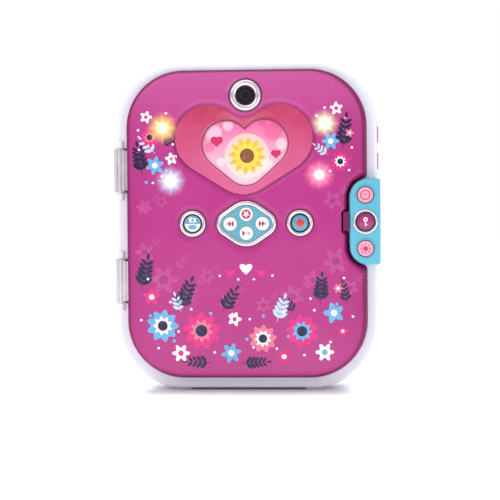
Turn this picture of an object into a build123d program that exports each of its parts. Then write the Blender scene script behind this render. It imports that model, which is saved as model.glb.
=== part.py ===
from build123d import *
import math
import os

# Electronic secret diary. Millimetres, +Z up, front towards -Y, standing on its feet at z = 0.
# The origin is midway across the widest points, midway through the depth and on the floor.

# Base
base_width = 182.0
base_height = 225.2
base_corner = 45.0
base_depth = 32.0
front_frame_depth = 12.0
foot_height = 1.6
foot_width = 12.6
foot_spacing = 92.0
foot_inset = 2.5
wall = 2.4
front_edge_round = 2.4
back_edge_round = 5.0

# Cover
cover_side_gap = 7.2
cover_top_gap = 3.4
cover_corner = 40.0
cover_depth = 12.5
cover_sill = 7.2
cover_wall = 2.2
cover_taper = 12.0
cover_edge_round = 3.6
crown_radius = 3000.0
parting_gap = 0.5
panel_thickness = 1.8
ring_proud = 1.2

# Clearances
slip = 0.15
running = 0.05
hair = 0.02
panel_slip = 0.25
button_gap = 0.2

# Hinges
hinge_overhang = 1.8
hinge_radius = 4.5
hinge_length = 30.8
upper_hinge_drop = 72.8
hinge_span = 77.2
hinge_sink = 1.5
hinge_pin_radius = 1.9
hinge_bush_bore = 1.0
hinge_lug_length = 5.0
hinge_lug_wall = 1.3
hinge_end_gap = 0.3
hinge_floor_gap = 0.3
hinge_arm_inset = 1.5
hinge_arm_thickness = 2.8
hinge_arm_reach = 14.0
hinge_sweep = 1.2
lead_radius = 0.8

# Tray, notebook and what lies in them
tray_left = 19.0
tray_right = 27.0
tray_top = 14.8
tray_bottom = 16.4
tray_corner = 18.0
tray_wall = 1.6
tray_flange = 4.0
tray_rim = 1.2
notebook_floor = 10.0
keepsake_floor = 24.0
keepsake_height = 51.0
notebook_side_room = 32.0
notebook_end_room = 15.0
notebook_cover_thickness = 0.8
page_block = 5.4
notebook_pocket_gap = 4.0
spiral_count = 16
spiral_wire = 0.45

# Heart window
heart_x = -1.0
heart_lobe_x = 24.3
heart_lobe_drop = 51.8
heart_lobe_radius = 23.5
heart_tip_drop = 65.3
heart_tip_radius = 25.0
heart_side_radius = 900.0
window_x = 0.2
window_lobe_x = 13.2
window_lobe_drop = 55.6
window_lobe_radius = 16.8
window_tip_drop = 69.4
window_tip_radius = 15.0
window_side_radius = 900.0
window_turn = 1.5
bezel_sink = 1.9
bezel_thickness = 3.0
bezel_flange = 2.5
lens_thickness = 1.4
lens_rebate = 1.2
screen_width = 66.0
screen_height = 54.0
screen_thickness = 1.6
screen_lip = 8.0
screen_rim = 2.0

# Camera
camera_x = 0.6
camera_drop = 22.2
camera_ring_radius = 10.85
camera_window_radius = 6.9
camera_ring_ledge = 2.0
camera_ring_depth = 2.4
camera_ring_lip = 0.6
camera_window_seat = 1.8
camera_window_thickness = 0.9
camera_module_size = 9.0

# Cover controls
pad_x = 0.7
pad_drop = 110.5
pad_width = 41.0
pad_height = 31.2
pad_side_round = 9.0
pad_tip_round = 15.0
pad_ring_width = 2.6
pad_sink = 1.1
pad_button_radius = 4.7
pad_button_x = 11.1
pad_button_z = 6.55
side_ring_radius = 8.9
side_ring_width = 2.2
side_button_radius = 6.1
photo_x = -36.5
photo_drop = 110.3
record_x = 37.6
record_drop = 110.3
button_travel = 0.8
button_flange = 0.8
flange_thickness = 1.0

# Cover electronics
board_thickness = 1.2
board_side_gap = 5.25
board_chips = [(-28.0, 52.0, 14.0, 14.0), (20.0, 62.0, 10.0, 10.0), (-10.0, 37.0, 7.0, 7.0)]
board_post_inset = 5.0
board_spacer_radius = 2.5
board_chip_height = 0.9
switch_stem_radius = 1.2
board_height = 95.0
board_margin = 8.2
camera_tab_width = 26.0
camera_tab_reach = 5.2
switch_size = 4.5
switch_height = 1.2
glow_places = [(-1, 5.0, 44.1), (-1, 10.5, 80.5), (1, 7.0, 42.0), (1, 10.9, 77.3)]
light_pipe_radius = 1.6

# Lock housing
lock_overhang = 1.8
lock_width = 21.05
lock_drop = 109.7
lock_height = 59.2
lock_corner = 12.8
lock_outer_corner = 2.0
lock_depth = 10.5
lock_wall = 1.8
lock_gap = 0.6
notch_round = 2.5
lock_button_inset = 10.3
small_button_radius = 5.4
clock_dz = 18.4
light_dz = -18.4
key_ring_radius = 8.4
key_button_radius = 6.8
key_ring_seat = 0.9
key_ring_proud = 1.0
lock_edge_round = 1.0
lock_post_radius = 1.5
lock_post_x = 5.6
lock_post_z = 10.5
lock_board_thickness = 0.8

# Latch
latch_drop = 109.5
latch_width = 9.0
latch_thickness = 2.5
latch_length = 9.0
latch_rest = 0.25
latch_arm = 2.0
spring_room = 2.4
latch_travel = 3.5
latch_behind_front = 2.6
catch_width = 13.3
catch_thickness = 3.4
catch_gap = 1.1
plunger_radius = 1.6
coil_radius = 5.0
plunger_y = 8.5
spring_wire = 0.35

# Batteries
cell_radius = 7.15
cell_length = 50.0
cell_pitch = 14.8
cell_count = 4
battery_x = -12.0
battery_drop = 68.8
battery_bay_length = 58.0
door_thickness = 2.0
door_lip = 4.0
door_tab = 9.0
door_ledge = 1.6
door_pad = 2.0
bay_wall = 1.6
door_boss_depth = 9.0
door_screw_length = 8.0
door_screw_head = 1.1
cell_slack = 0.4
cell_nub_radius = 2.7
cell_nub = 1.0
contact_plate = 0.5
contact_half = 5.0
finger_rib = 1.2

# Speaker, base board and side sockets
speaker_x = 44.0
speaker_rise = 24.5
speaker_radius = 17.0
speaker_depth = 8.0
speaker_rim = 2.0
speaker_basket = 3.0
speaker_cup_wall = 1.8
speaker_cup_depth = 4.0
speaker_hole_radius = 1.1
speaker_hole_pitch = 4.4
cone_dome_radius = 5.0
base_board_left = 24.0
base_board_drop = 34.8
base_board_height = 42.0
base_board_thickness = 1.6
base_board_chips = [(20.0, 30.0, 12.0, 12.0), (20.0, 13.0, 8.0, 6.0), (38.0, 20.0, 6.0, 10.0)]
board_post_radius = 2.6
board_post_height = 8.4
board_screw_radius = 0.9
board_screw_head = 1.9
board_screw_length = 5.0
board_hole_inset = 4.0
chip_height = 1.2
usb_drop = 48.6
audio_drop = 67.4
usb_half_height = 3.9
usb_depth = 8.0
audio_half_height = 3.2
audio_depth = 10.0
jack_radius = 1.8
socket_reach = 2.2
socket_half_opening = 4.3
flap_height = 11.6
flap_depth = 9.0
flap_thickness = 1.8
flap_proud = 1.0
flap_corner = 1.6

# Screws
case_screw_rise = 28.4
case_screw_drop = 28.8
lock_screw_gap = 11.5
case_screw_inset = 10.5
boss_radius = 3.5
screw_radius = 1.2
screw_head_radius = 2.6
screw_head_height = 1.6
screw_well_depth = 6.0
screw_slack = 0.1
cover_screw_foot = 17.8
cover_screw_head = 23.8
cover_screw_low = 23.2
cover_screw_high = 16.4
cover_screw_sill = 7.2
cover_screw_middle = 46.0
cover_screw_length = 6.0
cover_screw_cap = 0.9

# Levels through the depth, front negative
overall_depth = base_depth + parting_gap + cover_depth + ring_proud
base_back = overall_depth / 2
base_front = base_back - base_depth
split_y = base_front + front_frame_depth
cover_back = base_front - parting_gap
crown_y = cover_back - cover_depth
ring_top = crown_y - ring_proud
panel_front = cover_back - panel_thickness
board_back = panel_front - 1.2
board_front = board_back - board_thickness
switch_top = board_front - switch_height
flange_back = switch_top - button_travel - button_gap
flange_front = flange_back - flange_thickness

base_top = foot_height + base_height
base_centre_z = foot_height + base_height / 2
cover_width = base_width - 2 * cover_side_gap
cover_height = base_height - cover_sill - cover_top_gap
cover_bottom = foot_height + cover_sill
cover_centre_z = cover_bottom + cover_height / 2
upper_hinge_z = base_top - upper_hinge_drop
lower_hinge_z = upper_hinge_z - hinge_span
heart_lobe_z = base_top - heart_lobe_drop
heart_tip_z = base_top - heart_tip_drop
window_lobe_z = base_top - window_lobe_drop
window_tip_z = base_top - window_tip_drop
camera_z = base_top - camera_drop
pad_z = base_top - pad_drop
photo_z = base_top - photo_drop
record_z = base_top - record_drop
camera_tab_top = camera_z + camera_tab_reach
hinge_x = hinge_radius - base_width / 2 - hinge_overhang
hinge_y = base_front + hinge_sink
lead_exit_z = lower_hinge_z - hinge_length / 2 - hinge_end_gap - hinge_lug_length + lead_radius + 1.0
lock_right = base_width / 2 + lock_overhang
lock_left = lock_right - lock_width
lock_z = base_top - lock_drop
lock_button_x = lock_right - lock_button_inset
latch_z = base_top - latch_drop
lock_front = base_front - lock_depth
lock_inner = lock_front + lock_wall
tray_x0 = tray_left - base_width / 2
tray_x1 = base_width / 2 - tray_right
tray_z0 = foot_height + tray_bottom
tray_z1 = foot_height + base_height - tray_top
divider_z = tray_z0 + keepsake_height
notebook_width = tray_x1 - tray_x0 - notebook_side_room
notebook_height = tray_z1 - divider_z - notebook_end_room
speaker_z = divider_z + speaker_rise
battery_z = base_top - battery_drop
usb_z = base_top - usb_drop
audio_z = base_top - audio_drop
base_board_top = base_top - base_board_drop
base_board_bottom = base_board_top - base_board_height
notebook_base = base_front + notebook_floor
keepsake_base = base_front + keepsake_floor
battery_bay_height = cell_count * cell_pitch + 1.0
door_seat = base_back - door_thickness
cell_y = door_seat - cell_radius - cell_slack
battery_front = cell_y - cell_radius - cell_slack
base_board_right = base_width / 2 - wall - 1.0
base_board_back = base_back - wall - board_post_height
base_board_front = base_board_back - base_board_thickness
socket_y = base_board_front - socket_reach
bezel_front = crown_y + bezel_sink
bezel_back = bezel_front + bezel_thickness
lens_front = bezel_front + lens_rebate
lens_back = lens_front + lens_thickness
screen_front = bezel_back + 0.1
screen_back = screen_front + screen_thickness
screen_z = (window_lobe_z + window_lobe_radius + window_tip_z - window_tip_radius) / 2
latch_y = lock_inner + latch_behind_front + latch_thickness / 2 + 2.2
catch_face = lock_left - catch_gap
board_width = 2 * (catch_face - catch_thickness - board_side_gap)
glow_spots = [(side * (board_width / 2 - inset), base_top - drop) for side, inset, drop in glow_places]
board_top = max(z for x, z in glow_spots) + board_margin
board_bottom = board_top - board_height


def slab(outline, back, front, taper=0.0):
    """Solid between two depths; the outline is drawn in X and Z."""
    return extrude(Plane.XZ.offset(-back) * outline, back - front, taper=taper)


def box(x0, x1, y0, y1, z0, z1):
    corner = Vector((x0 + x1) / 2, (y0 + y1) / 2, (z0 + z1) / 2)
    return Pos(corner) * Box(abs(x1 - x0), abs(y1 - y0), abs(z1 - z0))


def rod(x, z, radius, back, front):
    """Round bar along Y."""
    return slab(Pos(x, z) * Circle(radius), back, front)


def upright(x, y, radius, z0, z1):
    """Round bar along Z."""
    return Pos(x, y, (z0 + z1) / 2) * Cylinder(radius, z1 - z0)


def crossbar(y, z, radius, x0, x1):
    """Round bar along X."""
    return Pos((x0 + x1) / 2, y, z) * Rot(0, 90, 0) * Cylinder(radius, abs(x1 - x0))


def face_depth(x, z):
    """Depth of the crowned cover face at one spot."""
    reach = x * x + (z - cover_centre_z) ** 2
    return crown_y + crown_radius - math.sqrt(crown_radius ** 2 - reach)


def crown_ball(inset):
    """Large ball whose front skin is the crowned face, moved back by the inset."""
    centre_y = crown_y + crown_radius
    return Pos(0, centre_y, cover_centre_z) * Sphere(crown_radius - inset)


def save(node, solids):
    """Write one node as a STEP file; a list becomes a group of separate solids."""
    if isinstance(solids, list):
        shape = Compound(children=[s.solids()[0] if hasattr(s, "solids") else s for s in solids])
    else:
        shape = solids
    export_step(shape, "parts/" + node + ".step")


# Outlines

def base_outline(inset=0.0):
    side = RectangleRounded(base_width - 2 * inset, base_height - 2 * inset, base_corner - inset)
    return Pos(0, base_centre_z) * side


def lock_outline(grow=0.0):
    """Lock housing seen from the front: round on the left, nearly square on the right."""
    width = lock_right - lock_left
    plate = Pos((lock_left + lock_right) / 2, lock_z) * Rectangle(width, lock_height)
    left = plate.vertices().group_by(Axis.X)[0]
    plate = fillet(left, lock_corner)
    right = plate.vertices().group_by(Axis.X)[-1]
    plate = fillet(right, lock_outer_corner)
    return offset(plate, grow, kind=Kind.ARC) if grow else plate


def cover_outline(inset=0.0):
    """Cover outline with the notch that goes round the lock housing."""
    blank = Pos(0, cover_centre_z) * RectangleRounded(cover_width, cover_height, cover_corner)
    notched = blank - lock_outline(lock_gap)
    edge_x = cover_width / 2
    mouth = [v for v in notched.vertices() if abs(v.X - edge_x) < 0.01 and abs(v.Y - lock_z) < lock_height]
    notched = fillet(mouth, notch_round)
    return offset(notched, -inset, kind=Kind.ARC) if inset else notched


def heart_side(lobe_x, lobe_z, lobe_radius, tip_z, tip_radius, side_radius):
    """Centre of the long side arc that is tangent to the lobe and to the tip round."""
    reach_lobe = side_radius - lobe_radius
    reach_tip = side_radius - tip_radius
    span = math.hypot(lobe_x, lobe_z - tip_z)
    along = (reach_tip ** 2 - reach_lobe ** 2 + span ** 2) / (2 * span)
    away = math.sqrt(reach_tip ** 2 - along ** 2)
    ux, uz = lobe_x / span, (lobe_z - tip_z) / span
    return ux * along - uz * away, tip_z + uz * along + ux * away


def heart(centre_x, lobe_x, lobe_z, lobe_radius, tip_z, tip_radius, side_radius, grow=0.0, valley_z=None):
    """Heart of two lobe arcs, two long side arcs and a rounded tip, upright about x = 0.

    The lobes meet in a sharp cleft, or in a hollow arc about valley_z where that is given.
    """
    side_x, side_z = heart_side(lobe_x, lobe_z, lobe_radius, tip_z, tip_radius, side_radius)

    def from_side(x, z, radius):
        gap = math.hypot(x - side_x, z - side_z)
        return x + (x - side_x) / gap * radius, z + (z - side_z) / gap * radius

    lobe_end = from_side(lobe_x, lobe_z, lobe_radius)
    tip_end = from_side(0.0, tip_z, tip_radius)
    lobe_angle = math.atan2(lobe_end[1] - lobe_z, lobe_end[0] - lobe_x)
    if valley_z is None:
        cleft_angle = math.acos(-lobe_x / lobe_radius)
    else:
        cleft_angle = math.atan2(valley_z - lobe_z, -lobe_x)
    middle = (lobe_angle + cleft_angle) / 2
    lobe_top = (lobe_x + lobe_radius * math.cos(middle), lobe_z + lobe_radius * math.sin(middle))
    cleft = (lobe_x + lobe_radius * math.cos(cleft_angle), lobe_z + lobe_radius * math.sin(cleft_angle))
    side_angle = (math.atan2(lobe_end[1] - side_z, lobe_end[0] - side_x)
                  + math.atan2(tip_end[1] - side_z, tip_end[0] - side_x)) / 2
    side_top = (side_x + side_radius * math.cos(side_angle), side_z + side_radius * math.sin(side_angle))
    half = [ThreePointArc(cleft, lobe_top, lobe_end), ThreePointArc(lobe_end, side_top, tip_end)]
    tip = ThreePointArc(tip_end, (0.0, tip_z - tip_radius), (-tip_end[0], tip_end[1]))
    edges = half + [tip] + [edge.mirror(Plane.YZ) for edge in half]
    if valley_z is not None:
        valley_radius = math.hypot(lobe_x, valley_z - lobe_z) - lobe_radius
        edges.append(ThreePointArc((-cleft[0], cleft[1]), (0.0, valley_z - valley_radius), cleft))
    outline = Sketch() + make_face(edges)
    if grow:
        outline = offset(outline, grow, kind=Kind.ARC)
    return Pos(centre_x, 0) * outline


def bezel_outline(grow=0.0):
    return heart(heart_x, heart_lobe_x, heart_lobe_z, heart_lobe_radius,
                 heart_tip_z, heart_tip_radius, heart_side_radius, grow, camera_z)


def window_outline(grow=0.0):
    upright_heart = heart(0.0, window_lobe_x, window_lobe_z, window_lobe_radius,
                          window_tip_z, window_tip_radius, window_side_radius, grow)
    middle = Pos(0, screen_z)
    return Pos(window_x, screen_z) * Rot(0, 0, window_turn) * middle.inverse() * upright_heart


def pad_outline(inset=0.0):
    """Rounded rhombus of the centre pad."""
    side_reach = pad_width / 2 - pad_side_round
    tip_reach = pad_height / 2 - pad_tip_round
    rounds = [Pos(side_reach, 0) * Circle(pad_side_round - inset),
              Pos(-side_reach, 0) * Circle(pad_side_round - inset),
              Pos(0, tip_reach) * Circle(pad_tip_round - inset),
              Pos(0, -tip_reach) * Circle(pad_tip_round - inset)]
    edges = [edge for disc in rounds for edge in disc.edges()]
    return Pos(pad_x, pad_z) * make_hull(edges)


def tray_outline(grow=0.0):
    middle = Pos((tray_x0 + tray_x1) / 2, (tray_z0 + tray_z1) / 2)
    return middle * RectangleRounded(tray_x1 - tray_x0 + 2 * grow, tray_z1 - tray_z0 + 2 * grow,
                                     tray_corner + grow)


# Base pieces

def case_screw_spots():
    edge = base_width / 2 - case_screw_inset
    foot, head = foot_height + case_screw_rise, base_top - case_screw_drop
    middle = lock_z - lock_height / 2 - lock_screw_gap
    return [(-edge, z) for z in (foot, base_centre_z, head)] + [(edge, z) for z in (foot, middle, head)]


def hinge_pocket(z):
    """Space that a hinge barrel and its arm sweep through in the front frame."""
    half = hinge_length / 2 + hinge_end_gap
    return upright(hinge_x, hinge_y, hinge_radius + hinge_sweep, z - half, z + half)


def hinge_block(z):
    """Solid corner of the frame that carries the two lugs and the pin of one hinge."""
    half = hinge_length / 2 + hinge_end_gap + hinge_lug_length
    reach = hinge_radius + hinge_sweep
    x0 = wall / 2 - base_width / 2
    block = box(x0, hinge_x + reach + wall, base_front + wall / 2, hinge_y + reach + wall,
                z - half, z + half)
    lug = upright(hinge_x, hinge_y, hinge_pin_radius + hinge_lug_wall, z - half, z + half)
    return block + lug


def lead_exit(radius, start):
    """Round bar from the foot of the lower hinge's axis back into the base."""
    back = hinge_y + hinge_radius + hinge_sweep + 2 * wall
    return rod(hinge_x, lead_exit_z, radius, back, start)


def hinge_pin_hole(z):
    half = hinge_length / 2 + hinge_end_gap + hinge_lug_length - 0.8
    return upright(hinge_x, hinge_y, hinge_pin_radius + hair, z - half, z + half)


def front_frame():
    shell = slab(base_outline(), split_y, base_front)
    shell = fillet(shell.faces().sort_by(Axis.Y)[0].edges(), front_edge_round)
    shell -= slab(base_outline(wall), split_y, base_front + wall)
    for z in (upper_hinge_z, lower_hinge_z):
        shell += hinge_block(z)
    for z in (upper_hinge_z, lower_hinge_z):
        shell -= hinge_pocket(z)
        shell -= hinge_pin_hole(z)
    shell -= lead_exit(lead_radius + 0.2, hinge_y)
    shell -= slab(tray_outline(slip), base_front + wall, base_front)
    for x, z in case_screw_spots():
        shell += rod(x, z, boss_radius, split_y, base_front + wall)
        shell -= rod(x, z, screw_radius + hair, split_y, base_front + wall + 1.5)
    window_half = lock_height / 2 - lock_corner + 3.0
    shell -= box(lock_left + lock_wall, base_width / 2 - wall - 0.6, base_front - 1, base_front + wall + 0.1,
                 lock_z - window_half, lock_z + window_half)
    return shell


def battery_bay_outline(grow=0.0):
    return Pos(battery_x, battery_z) * Rectangle(battery_bay_length + 2 * grow, battery_bay_height + 2 * grow)


def door_outline(inset=0.0):
    height = battery_bay_height + 2 * door_lip + door_tab
    plate = RectangleRounded(battery_bay_length + 2 * door_lip - 2 * inset, height - 2 * inset, 3.0 - inset)
    return Pos(battery_x, battery_z - door_tab / 2) * plate


def door_screw_z():
    return battery_z - battery_bay_height / 2 - door_lip - door_tab / 2 + 1.0


def speaker_holes():
    pitch = speaker_hole_pitch
    holes = []
    for row in range(-3, 4):
        for column in range(-3, 4):
            x, z = column * pitch + (row % 2) * pitch / 2, row * pitch * 0.866
            if math.hypot(x, z) < speaker_radius - 3.5:
                holes.append(Pos(speaker_x + x, speaker_z + z) * Circle(speaker_hole_radius))
    return Sketch() + holes


def socket_spots():
    return [usb_z, audio_z]


def flap_recess(z):
    """Shallow seat of one socket flap in the side wall."""
    half_depth = flap_depth / 2 + slip
    half_height = flap_height / 2 + slip
    sunk = flap_thickness - flap_proud + 0.1
    return box(base_width / 2 - sunk, base_width / 2 + 1, socket_y - half_depth, socket_y + half_depth,
               z - half_height, z + half_height)


def rear_shell():
    shell = slab(base_outline(), base_back, split_y)
    shell = fillet(shell.faces().sort_by(Axis.Y)[-1].edges(), back_edge_round)
    shell -= slab(base_outline(wall), base_back - wall, split_y)
    shell += slab(battery_bay_outline(bay_wall), base_back - wall, battery_front - bay_wall)
    shell += slab(door_outline(-door_pad), base_back - wall, door_seat - door_ledge)
    shell -= slab(door_outline(), base_back, door_seat)
    shell -= slab(battery_bay_outline(), base_back, battery_front)
    screw_z = door_screw_z()
    shell += rod(battery_x, screw_z, boss_radius, door_seat, door_seat - door_boss_depth)
    shell -= rod(battery_x, screw_z, screw_radius + running, base_back, door_seat - door_screw_length + 0.5)
    for x, z in case_screw_spots():
        shell += rod(x, z, boss_radius, base_back - wall, split_y)
        shell -= rod(x, z, screw_radius + screw_slack, base_back, split_y)
        shell -= rod(x, z, screw_head_radius + 0.4, base_back, base_back - screw_well_depth)
    for x, z in board_screw_spots():
        shell += rod(x, z, board_post_radius, base_back - wall, base_board_back)
        shell -= rod(x, z, board_screw_radius + hair, base_back - wall, base_board_back)
    shell -= slab(speaker_holes(), base_back, base_back - wall)
    shell += speaker_cup()
    for z in socket_spots():
        shell -= flap_recess(z)
        shell -= box(base_width / 2 - wall - 1, base_width / 2, socket_y - socket_half_opening,
                     base_board_front + 0.8, z - audio_half_height - 0.2, z + audio_half_height + 0.2)
    return shell


def speaker_cup():
    """Ring on the back wall that the speaker sits in."""
    back = base_back - wall
    ring = rod(speaker_x, speaker_z, speaker_radius + speaker_cup_wall, back, back - speaker_cup_depth)
    return ring - rod(speaker_x, speaker_z, speaker_radius + slip, back, back - speaker_cup_depth)


def storage_tray():
    """Tub with a shallow bay for the notebook over a deep bay for keepsakes."""
    rim_front = base_front + wall
    outer = tray_outline(tray_wall)
    upper_cut = box(-base_width, base_width, notebook_base + tray_wall, base_back,
                    divider_z + tray_wall, base_top)
    tub = slab(outer, keepsake_base + tray_wall, rim_front) - upper_cut
    tub += slab(tray_outline(tray_flange), rim_front + tray_wall, rim_front)
    tub += slab(tray_outline(), rim_front, base_front + 0.3)
    tub -= slab(bay_outline(tray_z0, divider_z), keepsake_base, base_front)
    tub -= slab(bay_outline(divider_z + tray_wall, tray_z1), notebook_base, base_front)
    return tub


def bay_outline(z0, z1):
    """The part of the tray's inside that lies between two heights."""
    band = Pos((tray_x0 + tray_x1) / 2, (z0 + z1) / 2) * Rectangle(tray_x1 - tray_x0, z1 - z0)
    return tray_outline(-tray_rim) & band


def notebook_box(grow, back, front):
    x1 = tray_x1 - tray_wall - notebook_pocket_gap * 3
    z1 = tray_z1 - tray_wall - notebook_pocket_gap
    return box(x1 - notebook_width - grow, x1 + grow, back, front, z1 - notebook_height - grow, z1 + grow)


def notebook():
    """Two card covers and a block of pages bound by a wire along the left edge."""
    back = notebook_base
    first = back - notebook_cover_thickness
    second = first - page_block
    covers = [notebook_box(0, back, first), notebook_box(0, second, second - notebook_cover_thickness)]
    pages = notebook_box(-1.0, first, second)
    covers = [fillet(c.edges().filter_by(Axis.Y), 5.0) for c in covers]
    pages = fillet(pages.edges().filter_by(Axis.Y), 4.0)
    bounds = notebook_box(0, back, second - notebook_cover_thickness).bounding_box()
    thick = 2 * notebook_cover_thickness + page_block
    ring_x = bounds.min.X + 3.2
    ring_radius = thick / 2 + spiral_wire + 0.1
    ring_y = back - ring_radius - spiral_wire - hair
    holes = []
    rings = []
    pitch = notebook_height / spiral_count
    for index in range(spiral_count):
        z = bounds.min.Z + pitch * (index + 0.5)
        centre = Pos(ring_x - 1.6, ring_y, z)
        rings.append(centre * Torus(ring_radius, spiral_wire))
        holes.append(centre * Torus(ring_radius, spiral_wire + hair))
    for hole in holes:
        covers = [c - hole for c in covers]
        pages = pages - hole
    return covers, pages, rings


def battery_cells():
    cells = []
    for index in range(cell_count):
        z = battery_z + (index - (cell_count - 1) / 2) * cell_pitch
        way = 1 if index % 2 else -1
        half = cell_length / 2 - cell_nub
        body = crossbar(cell_y, z, cell_radius, battery_x - half, battery_x + half)
        body = chamfer(body.edges(), 0.5)
        end = battery_x + way * half
        cells.append(body + crossbar(cell_y, z, cell_nub_radius, end - way * 0.5, end + way * cell_nub))
    return cells


def battery_contacts():
    """Flat plate at one end of each cell and a coned spring at the other."""
    contacts = []
    for index in range(cell_count):
        z = battery_z + (index - (cell_count - 1) / 2) * cell_pitch
        way = 1 if index % 2 else -1
        for side in (-1, 1):
            wall_x = battery_x + side * (battery_bay_length / 2 - hair)
            start = wall_x - side * contact_plate
            plate = box(wall_x, start, cell_y - contact_half, cell_y + contact_half,
                        z - contact_half, z + contact_half)
            cell_end = cell_length / 2 - (0.0 if side == way else cell_nub)
            reach = battery_bay_length / 2 - contact_plate - cell_end - 0.1
            middle = start - side * reach / 2
            bump = Pos(middle, cell_y, z) * Rot(0, -90 * side, 0) * Cone(3.6, 2.2, reach)
            contacts.append(plate + bump)
    return contacts


def battery_door():
    door = slab(door_outline(slip), base_back, door_seat + hair)
    screw_z = door_screw_z()
    door -= rod(battery_x, screw_z, screw_radius + screw_slack, base_back, door_seat)
    door -= rod(battery_x, screw_z, screw_head_radius + screw_slack, base_back, base_back - door_screw_head)
    rib_z = battery_z + battery_bay_height / 2
    for index in range(3):
        z = rib_z - 4.0 - index * 2 * finger_rib
        door -= slab(Pos(battery_x, z) * SlotOverall(16.0, finger_rib), base_back, base_back - 0.7)
    return door


def screw(x, z, head, length, head_radius=screw_head_radius, radius=screw_radius,
          height=screw_head_height, way=-1):
    """Pan-head screw with a cross recess in its head; it points to -Y, or to +Y if way is 1."""
    body = rod(x, z, head_radius, head, head + way * height)
    body += rod(x, z, radius, head + way * height, head + way * (height + length))
    cross = Pos(x, z) * (Rectangle(head_radius * 1.2, 0.6) + Rectangle(0.6, head_radius * 1.2))
    return body - slab(cross, head, head + way * height * 0.5)


def battery_door_screw():
    return screw(battery_x, door_screw_z(), base_back - screw_slack, door_screw_length,
                 height=door_screw_head - screw_slack)


def case_screws():
    seat = base_back - screw_well_depth + screw_head_height
    length = seat - screw_head_height - (base_front + wall + 2.0)
    return [screw(x, z, seat, length) for x, z in case_screw_spots()]


def feet():
    depth0 = base_front + foot_inset + front_edge_round
    depth1 = base_back - foot_inset - back_edge_round
    pads = []
    for side in (-1, 1):
        x = side * foot_spacing / 2
        pad = box(x - foot_width / 2, x + foot_width / 2, depth0, depth1, 0, foot_height)
        pads.append(fillet(pad.edges().filter_by(Axis.Z), 2.0))
    return pads


def speaker():
    back = base_back - wall
    basket = back - speaker_rim
    magnet = basket - speaker_basket
    frame = rod(speaker_x, speaker_z, speaker_radius, back, basket)
    frame += rod(speaker_x, speaker_z, speaker_radius * 0.8, basket, magnet)
    frame += rod(speaker_x, speaker_z, speaker_radius * 0.6, magnet, back - speaker_depth)
    return frame - rod(speaker_x, speaker_z, speaker_radius - 2.5, back, back - speaker_rim * 0.8)


def speaker_cone():
    back = base_back - wall
    cone = rod(speaker_x, speaker_z, speaker_radius - 2.6, back - 0.6, back - 1.5)
    dome = rod(speaker_x, speaker_z, cone_dome_radius, back - 0.1, back - 1.0)
    return cone + dome


def board_screw_spots():
    """Four holes; the right ones stay clear of the sockets."""
    x0 = base_board_left + board_hole_inset
    x1 = base_board_right - audio_depth - board_hole_inset
    return [(x, z) for x in (x0, x1)
            for z in (base_board_bottom + board_hole_inset, base_board_top - board_hole_inset)]


def base_board():
    middle = Pos((base_board_left + base_board_right) / 2, (base_board_bottom + base_board_top) / 2)
    blank = middle * Rectangle(base_board_right - base_board_left, base_board_top - base_board_bottom)
    board = slab(blank - case_boss_clearance(), base_board_back, base_board_front)
    for x, z in board_screw_spots():
        board -= rod(x, z, board_screw_radius + 2 * screw_slack, base_board_back, base_board_front)
    for x, z, width, height in base_board_chips:
        chip = Pos(base_board_left + x, base_board_bottom + z) * Rectangle(width, height)
        board += slab(chip, base_board_front, base_board_front - chip_height)
    return board


def case_boss_clearance():
    return Sketch() + [Pos(x, z) * Circle(boss_radius + 1.0) for x, z in case_screw_spots()]


def board_screws():
    length = base_board_thickness + board_screw_length
    return [screw(x, z, base_board_front - 1.0, length, board_screw_head, board_screw_radius, 1.0, way=1)
            for x, z in board_screw_spots()]


def usb_socket():
    inner = usb_half_height - 0.6
    shell = box(base_board_right - usb_depth, base_board_right, socket_y - 1.6, base_board_front,
                usb_z - usb_half_height, usb_z + usb_half_height)
    return shell - box(base_board_right - usb_depth + 2.0, base_board_right, socket_y - 1.1,
                       base_board_front - 0.5, usb_z - inner, usb_z + inner)


def audio_socket():
    body = box(base_board_right - audio_depth, base_board_right, socket_y - 2.9, base_board_front,
               audio_z - audio_half_height, audio_z + audio_half_height)
    return body - crossbar(socket_y - 0.4, audio_z, jack_radius, base_board_right - audio_depth + 1.0,
                           base_board_right)


def socket_flap(z):
    """Rubber flap that swings on its rear edge."""
    x1 = base_width / 2 + flap_proud
    plate = box(x1 - flap_thickness, x1, socket_y - flap_depth / 2, socket_y + flap_depth / 2,
                z - flap_height / 2, z + flap_height / 2)
    plate = fillet(plate.edges().filter_by(Axis.X), flap_corner)
    return chamfer(plate.faces().sort_by(Axis.X)[-1].edges(), 0.4)


# Lock

def lock_housing():
    body = slab(lock_outline(), base_front, lock_front)
    body = fillet(body.faces().sort_by(Axis.Y)[0].edges(), lock_edge_round)
    body -= slab(offset(lock_outline(), -lock_wall, kind=Kind.ARC), base_front, lock_inner)
    body -= rod(lock_button_x, lock_z + clock_dz, small_button_radius + slip, base_front, lock_front)
    body -= rod(lock_button_x, lock_z + light_dz, small_button_radius + slip, base_front, lock_front)
    body -= rod(lock_button_x, lock_z, key_button_radius + slip, base_front, lock_front)
    body -= rod(lock_button_x, lock_z, key_ring_radius + hair, lock_front + key_ring_seat, lock_front)
    body -= latch_slot(lock_left - 1, lock_left + lock_wall + 1, slip)
    for x, z in lock_post_spots():
        body += rod(x, z, lock_post_radius, lock_board_front() - hair, lock_inner)
    return body


def latch_slot(x0, x1, clearance):
    """Straight slot that the bolt slides through."""
    half_depth = latch_thickness / 2 + clearance
    half_width = latch_width / 2 + clearance
    return box(x0, x1, latch_y - half_depth, latch_y + half_depth, latch_z - half_width, latch_z + half_width)


def lock_post_spots():
    return [(lock_button_x + side * lock_post_x, lock_z + end * lock_post_z)
            for side in (-1, 1) for end in (-1, 1)]


def lock_flange_back():
    return lock_inner + 0.1 + flange_thickness


def lock_board_front():
    return lock_flange_back() + button_travel + button_gap + switch_height


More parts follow.
